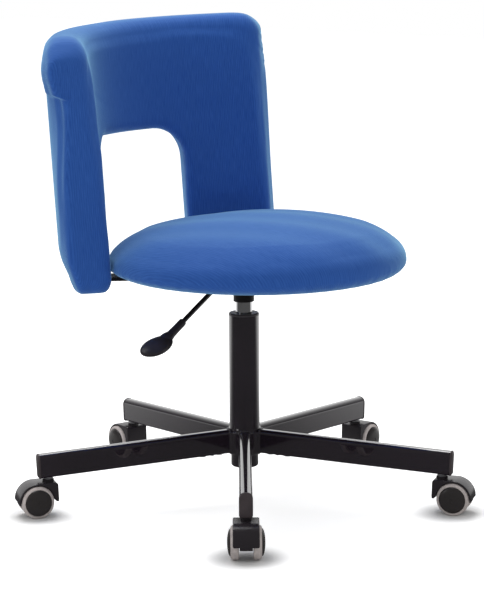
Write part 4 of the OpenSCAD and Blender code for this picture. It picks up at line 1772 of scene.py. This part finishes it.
@dataclass
class Caster:
    """One twin-wheel caster: its hood, and the tread, disc and spokes of both wheels."""

    number: int
    wheel: float = 0.0265
    width: float = 0.016
    disc: float = 0.0215
    gap: float = 0.022
    bulge: float = 0.0020
    hood_half: float = 0.02025
    hood_inner: float = 0.0277
    hood_outer: float = 0.0301
    trail: float = 0.0215
    reach: float = 0.0125
    skirt: float = 0.0005
    hood_round: float = 0.0021
    shoulder: float = 0.0045
    web_half: float = 0.010
    web_radius: float = 0.0285
    bore: float = 0.0031
    tread_round: float = 0.0028
    rim_drop: float = 0.0032
    tread_swell: float = 0.00012
    collar: Section = ((0.0041, -0.004), (0.0094, -0.004), (0.0094, 0.0028), (0.0085, 0.0038), (0.0066, 0.0038),
                       (0.0059, 0.0022), (0.0041, 0.0022))
    hollow: Section = ((0.0072, 0.0), (0.0072, 0.0045), (0.0182, 0.0045), (0.0182, 0.0003))
    eye: Section = ((0.0034, -0.00015), (0.0026, -0.0008), (0.0, -0.0009))
    bore_depth: float = 0.0135
    spokes: int = 8

    def __post_init__(self) -> None:
        """Finds the axle and the stem from the solids."""
        self.axle = middle_of(f"caster_axle_{self.number}")
        self.stem = middle_of(f"caster_stem_{self.number}")
        self.angle = math.atan2(self.stem.y, self.stem.x)

    def axes(self, side: int = -1) -> Matrix:
        """Returns the place of the axle: X to the trail and Z along the axle, which puts Y up for side -1.

        Args:
            side: Which way the axle points.

        Returns:
            The place as a matrix.
        """
        c, s = math.cos(self.angle), math.sin(self.angle)
        x, z = Vector((c, s, 0)), Vector((-s, c, 0)) * side
        y = z.cross(x)
        turn = Matrix((x, y, z)).transposed().to_4x4()
        return Matrix.Translation(self.axle) @ turn

    def hood_outline(self, inset: float = 0.0) -> list[tuple[float, float]]:
        """Returns the arch and shoulder, the trail on +X and up on +Y.

        Args:
            inset: How far the outline is drawn in from its widest.

        Returns:
            The outline's points.
        """
        far = -(self.trail + self.reach)
        lower = math.degrees(math.asin((self.skirt - inset) / self.hood_outer))
        outer = arc((0, 0), self.hood_outer - inset, -lower, 90, 26)
        round_at = (far + self.shoulder, self.hood_outer - self.shoulder)
        shoulder = arc(round_at, self.shoulder - inset, 90, 180, 6)
        foot = [(far - 0.0008 + inset, 0.004), (far - 0.0004 + inset, -0.0008 + inset),
                (-self.hood_inner - 0.0035, -0.0008 + inset), (-self.hood_inner - 0.0004, 0.002 + inset)]
        inner = arc((0, 0), self.hood_inner, 175, -lower, 34)
        return outer + shoulder + foot + inner

    def hood(self) -> bpy.types.Object:
        """Makes the hood: an arched shell with rounded rims, its web between the wheels and the stem's collar.

        Returns:
            The hood.
        """
        place, rings = self.axes(), []
        turns = [math.pi / 2 * i / 5 for i in range(6)]
        for side, a in [(-1, a) for a in turns[::-1]] + [(1, a) for a in turns]:
            z = side * (self.hood_half - self.hood_round + self.hood_round * math.sin(a))
            outline = self.hood_outline(self.hood_round * (1 - math.cos(a)))
            rings.append([place @ Vector((x, y, z)) for x, y in outline])
        shell = outward(lofted("hood_shell", rings, HOOD_PLASTIC))
        web = [(self.web_radius * math.cos(a), self.web_radius * math.sin(a))
               for a in (math.radians(-12 + 204 * i / 24) for i in range(25))]
        web += arc((0, 0), 0.0095, 200, 340, 8)
        plate = prism("hood_web", web, self.web_half, place, HOOD_PLASTIC, edge=0.0008)
        up = Matrix.Translation(Vector((self.stem.x, self.stem.y, 0)))
        top = self.axle.z + self.hood_outer
        collar = lathe("hood_collar", [(r, top + z) for r, z in self.collar], up, HOOD_PLASTIC, 40)
        return shade(joined(f"hood_{self.number}", [shell, plate, collar]), 38)

    def tread_section(self) -> list[tuple[float, float]]:
        """Returns the tread's section: rounded at its inner edge, and drawn in to the disc at its outer one.

        Returns:
            The section's points.
        """
        w, r, d, e = self.width, self.wheel, self.disc, self.tread_round
        widest, rim, root = w * 0.46, w - self.rim_drop, d + 0.0004
        section = [(d, 0.0004), (r - e, 0.0)]
        section += [(r - e + e * math.sin(a), e - e * math.cos(a)) for a in (math.pi / 2 * i / 5 for i in range(1, 6))]
        section += [(r + self.tread_swell, w * 0.40), (r + self.tread_swell, widest)]
        section += [(root + (r - d - 0.0004) * math.cos(a), widest + (rim - widest) * math.sin(a))
                    for a in (math.pi / 2 * i / 9 for i in range(1, 10))]
        return section + [(d, rim - 0.0006)]

    def disc_section(self) -> list[tuple[float, float]]:
        """Returns the disc's section: hollow on its inner side, and convex with a small eye on its outer one.

        Returns:
            The section's points.
        """
        d, bore, rim, top = self.disc, self.bore, self.width - self.rim_drop, self.width + self.bulge
        section = [(bore, 0.0), *self.hollow, (d - 0.0001, 0.0003), (d - 0.0001, rim - 0.0004)]
        section += [((d - 0.0003) * math.cos(a), rim + (top - rim) * math.sin(a))
                    for a in (math.pi / 2 * i / 10 for i in range(0, 10))]
        section += [(r, top + z) for r, z in self.eye]
        return section + [(0.0, self.bore_depth), (bore, self.bore_depth)]

    def rolling(self, side: Side) -> bpy.types.Object:
        """Makes one wheel: tread, convex disc and the spokes on its inner side.

        Args:
            side: Which of the two wheels.

        Returns:
            The wheel.
        """
        place = self.axes(side.value) @ Matrix.Translation((0, 0, self.gap / 2))
        ring = lathe("tread", self.tread_section(), place, TREAD, 72)
        body = lathe("disc", self.disc_section(), place, DISC_PLASTIC, 72)
        repeater = spoke_repeater(DISC_PLASTIC, self.spokes, inner=0.0068, outer=0.0186, thick=0.0014, deep=0.0042)
        spokes = repeater.run(linked("spokes", bpy.data.meshes.new("spokes")))
        spokes.data.transform(place)
        name = f"wheel_{self.number}_{side.name.lower()}_dressed"
        return shade(joined(name, [ring, body, spokes]), 40)

    def build(self) -> None:
        """Builds the caster's pieces and hangs them on their bodies."""
        hood = self.hood()
        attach(hood, f"caster_{self.number}")
        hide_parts(f"caster_hood_{self.number}")
        for side in Side:
            name = side.name.lower()
            wheel = self.rolling(side)
            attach(wheel, f"wheel_{self.number}_{name}")
            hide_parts(f"wheel_disc_{self.number}_{name}", f"wheel_tread_{self.number}_{name}")
        log.info("caster %d: hood and two wheels", self.number)


@dataclass
class StarBase:
    """The five welded arms: rounded end caps, weld seams round the hub and puddles below."""

    turn: float = math.radians(2.2)
    arms: int = 5
    tip: float = 0.350
    tip_z: float = 0.0626
    slope: float = math.atan(14.6 / (350 - 26.5))
    width: float = 0.020
    height: float = 0.039
    top_edge: float = 0.008
    low_edge: float = 0.004
    hub: float = 0.0265
    cap_steps: Section = ((-0.0070, -0.0019), (-0.0030, -0.0019), (-0.0030, 0.0004), (-0.0027, 0.0007),
                          (-0.0016, 0.0007), (-0.0006, 0.0003), (-0.0001, -0.0006), (0.0002, -0.0022),
                          (0.0004, -0.0048))
    cap_face: float = -0.0028
    cap_rounder: float = 0.0018
    weld_proud: float = 0.0006
    web_root: float = 0.0245
    web_reach: float = 0.0318
    web_half: float = 0.0108
    web_span: tuple[float, float] = (0.0152, 0.0510)
    puddle_spots: tuple[tuple[float, float], ...] = ((0.0445, 0.0085), (0.0575, 0.0045), (0.0735, 0.0090))
    puddle_half: tuple[float, float] = (0.0072, 0.0030)

    def arm_axes(self, k: int) -> Matrix:
        """Returns an arm's own axes: X outwards, Z up, its underside at Z = 0.

        Args:
            k: The arm's number.

        Returns:
            The axes as a matrix.
        """
        rise = self.tip_z + self.tip * math.tan(self.slope)
        return (Matrix.Rotation(self.turn + 2 * math.pi * k / self.arms, 4, "Z") @ Matrix.Translation((0, 0, rise))
                @ Matrix.Rotation(self.slope, 4, "Y"))

    def section(self, grow: float = 0.0, steps: int = 8, rounder: float = 0.0) -> list[tuple[float, float]]:
        """Returns the arm's section, across and up, grown on all sides and rounder at the top.

        Args:
            grow: How far it is grown.
            steps: The steps of each rounded edge.
            rounder: What the upper edges' radius gains.

        Returns:
            The section's points.
        """
        half, top, low = self.width / 2 + grow, self.height + grow, self.low_edge + grow / 2
        high = min(self.top_edge + grow / 2 + rounder, half - 0.0002)
        return (arc((half - low, -grow + low), low, -90, 0, steps)
                + arc((half - high, top - high), high, 0, 90, steps)
                + arc((-half + high, top - high), high, 90, 180, steps)
                + arc((-half + low, -grow + low), low, 180, 270, steps))

    def caps(self) -> bpy.types.Object:
        """Makes the five end caps with rounded faces.

        Returns:
            The caps as one object.
        """
        parts = []
        tip = self.tip / math.cos(self.slope)
        for k in range(self.arms):
            axes = self.arm_axes(k)
            rings = [[axes @ Vector((tip + x, y, z))
                      for y, z in self.section(grow, rounder=0.0 if x < self.cap_face else self.cap_rounder)]
                     for x, grow in self.cap_steps]
            parts.append(outward(lofted("cap", rings, CAP_PLASTIC)))
        return shade(joined("end_caps", parts), 45)

    def welds(self) -> bpy.types.Object:
        """Makes the weld seams where the arms meet the hub.

        Returns:
            The seams as one object.
        """
        loops = []
        for k in range(self.arms):
            axes = self.arm_axes(k)
            loops.append([tuple(axes @ Vector((math.sqrt(max((self.hub + self.weld_proud) ** 2 - y * y, 0)), y, z)))
                          for y, z in self.section(0.0004, 5)])
        repeater = weld_repeater(PAINT, spacing=0.0021, size=0.0019, seed=11)
        return repeater.run(path_object("arm_welds", loops, PAINT))

    def fillets(self) -> bpy.types.Object:
        """Makes the smooth webs in the corners between neighbouring arms.

        Returns:
            The webs as one object.
        """
        parts = []
        root, reach, half = self.web_root, self.web_reach, self.web_half
        right = [(reach - 0.0012, half), (reach - 0.0038, half * 0.45)]
        outline = ([(root, -half - 0.002)] + [(x, -y) for x, y in right] + [(reach - 0.0045, 0)] + right[::-1]
                   + [(root, half + 0.002)])
        low, high = self.tip_z + self.web_span[0], self.tip_z + self.web_span[1]
        lift = Matrix.Translation((0, 0, (low + high) / 2))
        for k in range(self.arms):
            place = Matrix.Rotation(self.turn + 2 * math.pi * (k + 0.5) / self.arms, 4, "Z")
            parts.append(prism("web", outline, (high - low) / 2, place @ lift, PAINT, edge=0.0016))
        return shade(joined("hub_webs", parts), 50)

    def puddle(self, k: int, x: float, long: float) -> bpy.types.Object:
        """Makes one flattened puddle of weld.

        Args:
            k: The arm's number.
            x: How far along the arm it lies.
            long: Half of its length.

        Returns:
            The puddle.
        """
        axes, (wide, high) = self.arm_axes(k), self.puddle_half

        def spread(p: Vector) -> Vector:
            """Returns a point's place under the arm."""
            wave = 1 + 0.12 * math.sin(5 * p.x + 3 * k) * math.cos(4 * p.y)
            return axes @ Vector((x + p.x * long, p.y * wide * wave, 0.0008 + p.z * high * wave))

        return lump("puddle", 3, PAINT, spread)

    def puddles(self) -> bpy.types.Object:
        """Makes the flattened weld puddles under the arms near the hub."""
        parts = [self.puddle(k, x, long) for k in range(self.arms) for x, long in self.puddle_spots]
        return shade(joined("weld_puddles", parts))

    def build(self) -> None:
        """Builds the base's pieces and hangs them on its body."""
        caps = self.caps()
        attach(caps, "base")
        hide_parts("arm_end_caps")
        for piece in (self.welds(), self.fillets(), self.puddles()):
            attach(piece, "base")
        log.info("base: caps, welds, webs and puddles")


# ---------------------------------------------------------------- kept solids and studio

@dataclass
class KeptSolids:
    """The finishes of the solids, by the beginning of their names."""

    finishes: dict[Finish, tuple[str, ...]] = field(default_factory=lambda: {
        PAINT: ("base_hub", "base_arms", "column_tube"),
        PAINT_PLATE: ("mechanism_housing", "mechanism_plate", "back_bracket"),
        ROD_PAINT: ("lever_rod",),
        CHROME: ("piston_rod", "gas_cylinder"),
        ZINC: ("caster_sockets", "thrust_bearing", "retaining_clip", "lever_pivot_pin", "seat_bolts", "bracket_bolts",
               "caster_stem", "caster_axle"),
        BRASS: ("valve_button",),
        BUSH_PLASTIC: ("column_bush", "cylinder_rod_guide"),
        LEVER_PLASTIC: ("lever_handle",),
        CAP_PLASTIC: ("arm_end_caps",),
        HOOD_PLASTIC: ("caster_hood",),
        DISC_PLASTIC: ("wheel_disc",),
        TREAD: ("wheel_tread",),
        PLY: ("seat_board", "back_shell"),
        CLOTH: ("seat_cushion", "back_cushion")})

    def finish_of(self, name: str) -> Finish | None:
        """Returns a solid's finish."""
        return next((finish for finish, stems in self.finishes.items()
                     if any(name == stem or name.startswith(stem + "_") for stem in stems)), None)

    def dress(self, nodes: dict[str, bpy.types.Object]) -> None:
        """Gives every solid its finish.

        Args:
            nodes: The frame's nodes.
        """
        for name, solid in nodes.items():
            finish = self.finish_of(name)
            if finish is None:
                log.warning("no finish for %s", name)
                continue
            for slot in solid.material_slots:
                slot.material = finish.material()
        log.info("dressed %d solids", len(nodes))


@dataclass(frozen=True)
class Lamp:
    """One soft rectangular lamp."""

    name: str
    place: Point
    target: Point
    size: tuple[float, float]
    watts: float

    def hang(self) -> None:
        """Sets the lamp, turned to its target."""
        data = bpy.data.lights.new(self.name, "AREA")
        data.shape, data.size, data.size_y, data.energy = "RECTANGLE", *self.size, self.watts
        made = linked(self.name, data)
        made.location = self.place
        made.rotation_euler = (Vector(self.target) - Vector(self.place)).to_track_quat("-Z", "Y").to_euler()


@dataclass
class Studio:
    """The white floor and sky, the lamps and the camera."""

    eye: Point = (-2.8921, -2.2595, 1.0215)
    heading: float = math.radians(52)
    pitch: float = math.radians(10.657)
    roll: float = math.radians(-0.388)
    yaw: float = math.radians(-0.045)
    lens: float = 137.08
    floor_half: float = 9.0
    floor_grey: Colour = (0.86, 0.86, 0.86)
    floor_glow: float = 0.62
    shadow_reach: tuple[float, float] = (0.028, 0.078)
    sky_light: float = 0.66
    lamps: tuple[Lamp, ...] = (Lamp("overhead", (0.5, 0.9, 2.6), (0, 0, 0.4), (2.2, 1.6), 52),
                               Lamp("left_strip", (-2.4, 0.9, 1.2), (0, 0, 0.45), (0.6, 1.6), 4))

    @property
    def ahead(self) -> Point:
        """Returns the level direction in which the camera looks."""
        return (math.sin(self.heading), math.cos(self.heading), 0.0)

    def camera(self) -> None:
        """Sets the camera."""
        data = bpy.data.cameras.new("view")
        data.lens, data.sensor_width = self.lens, 36.0
        data.clip_end = 50
        made = linked("view", data)
        turn = (Matrix.Rotation(-self.heading - self.yaw, 4, "Z") @ Matrix.Rotation(math.pi / 2 - self.pitch, 4, "X")
                @ Matrix.Rotation(self.roll, 4, "Z"))
        made.matrix_world = Matrix.Translation(self.eye) @ turn
        bpy.context.scene.camera = made

    def floor(self) -> None:
        """Makes the white floor, which keeps soft shadows near what stands on it."""
        far = self.floor_half
        floor = linked("floor", bpy.data.meshes.new("floor"))
        floor.data.from_pydata([(-far, -far, 0), (far, -far, 0), (far, far, 0), (-far, far, 0)], [], [(0, 1, 2, 3)])
        made = bpy.data.materials.new("studio_floor")
        made.use_nodes = True
        made.node_tree.nodes.clear()
        maker = NodeMaker(made.node_tree)
        rays = maker.add("ShaderNodeLightPath")
        seen = Scalar(maker, rays.outputs["Is Camera Ray"])
        glossy = Scalar(maker, rays.outputs["Is Glossy Ray"])
        place = maker.place()
        apart: Scalar | None = None
        for number in range(1, 6):
            axle = middle_of(f"caster_axle_{number}")
            away = maker.measure("DISTANCE", place, (axle.x, axle.y, 0.0))
            apart = away if apart is None else apart.lesser(away)
        lit = maker.add("ShaderNodeBsdfDiffuse", {}, {"Color": self.floor_grey})
        strength = seen * apart.step(*self.shadow_reach, 0.0, self.floor_glow)
        glow = maker.add("ShaderNodeEmission", {}, {"Color": WHITE, "Strength": strength})
        both = maker.add("ShaderNodeAddShader", {}, {0: lit.outputs[0], 1: glow.outputs[0]})
        # what shiny pieces see: white behind the chair and dark on the camera's side
        behind = maker.measure("DOT_PRODUCT", place, self.ahead).step(0.0, 0.8, 0.09, 1.0)
        mirrored = maker.add("ShaderNodeEmission", {}, {"Color": WHITE, "Strength": behind})
        whole = maker.add("ShaderNodeMixShader", {}, {0: glossy, 1: both.outputs[0], 2: mirrored.outputs[0]})
        maker.add("ShaderNodeOutputMaterial", {}, {"Surface": whole.outputs[0]})
        floor.data.materials.append(made)

    def sky(self) -> None:
        """Makes the white surroundings, which shiny pieces see white only behind the chair."""
        world = bpy.data.worlds.new("studio")
        bpy.context.scene.world = world
        world.use_nodes = True
        world.node_tree.nodes.clear()
        maker = NodeMaker(world.node_tree)
        rays = maker.add("ShaderNodeLightPath")
        camera = Scalar(maker, rays.outputs["Is Camera Ray"])
        clear = Scalar(maker, rays.outputs["Is Transmission Ray"])
        glossy = Scalar(maker, rays.outputs["Is Glossy Ray"])
        shown = (camera + clear).lesser(1.0)
        way = maker.add("ShaderNodeTexCoord").outputs["Generated"]
        mirrored = maker.measure("DOT_PRODUCT", way, self.ahead).step(0.25, 0.85, 0.10, 1.0)
        strength = shown * 1.0 + (1 - shown) * (glossy * mirrored + (1 - glossy) * self.sky_light)
        back = maker.add("ShaderNodeBackground", {}, {"Color": WHITE, "Strength": strength})
        maker.add("ShaderNodeOutputWorld", {}, {"Surface": back.outputs[0]})

    def build(self) -> None:
        """Sets up the studio."""
        self.camera()
        self.floor()
        self.sky()
        for lamp in self.lamps:
            lamp.hang()
        bpy.context.scene.view_settings.view_transform = "Standard"


def main() -> None:
    """Builds the chair's looks in order."""
    logging.basicConfig(level=logging.INFO, format="%(name)s: %(message)s")
    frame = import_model()
    KeptSolids().dress(frame["nodes"])
    Studio().build()
    Seat().build()
    Back().build()
    LeverHandle().build()
    StarBase().build()
    for number in range(1, 6):
        Caster(number).build()
    log.info("boxes written")


if __name__ == "__main__":
    main()
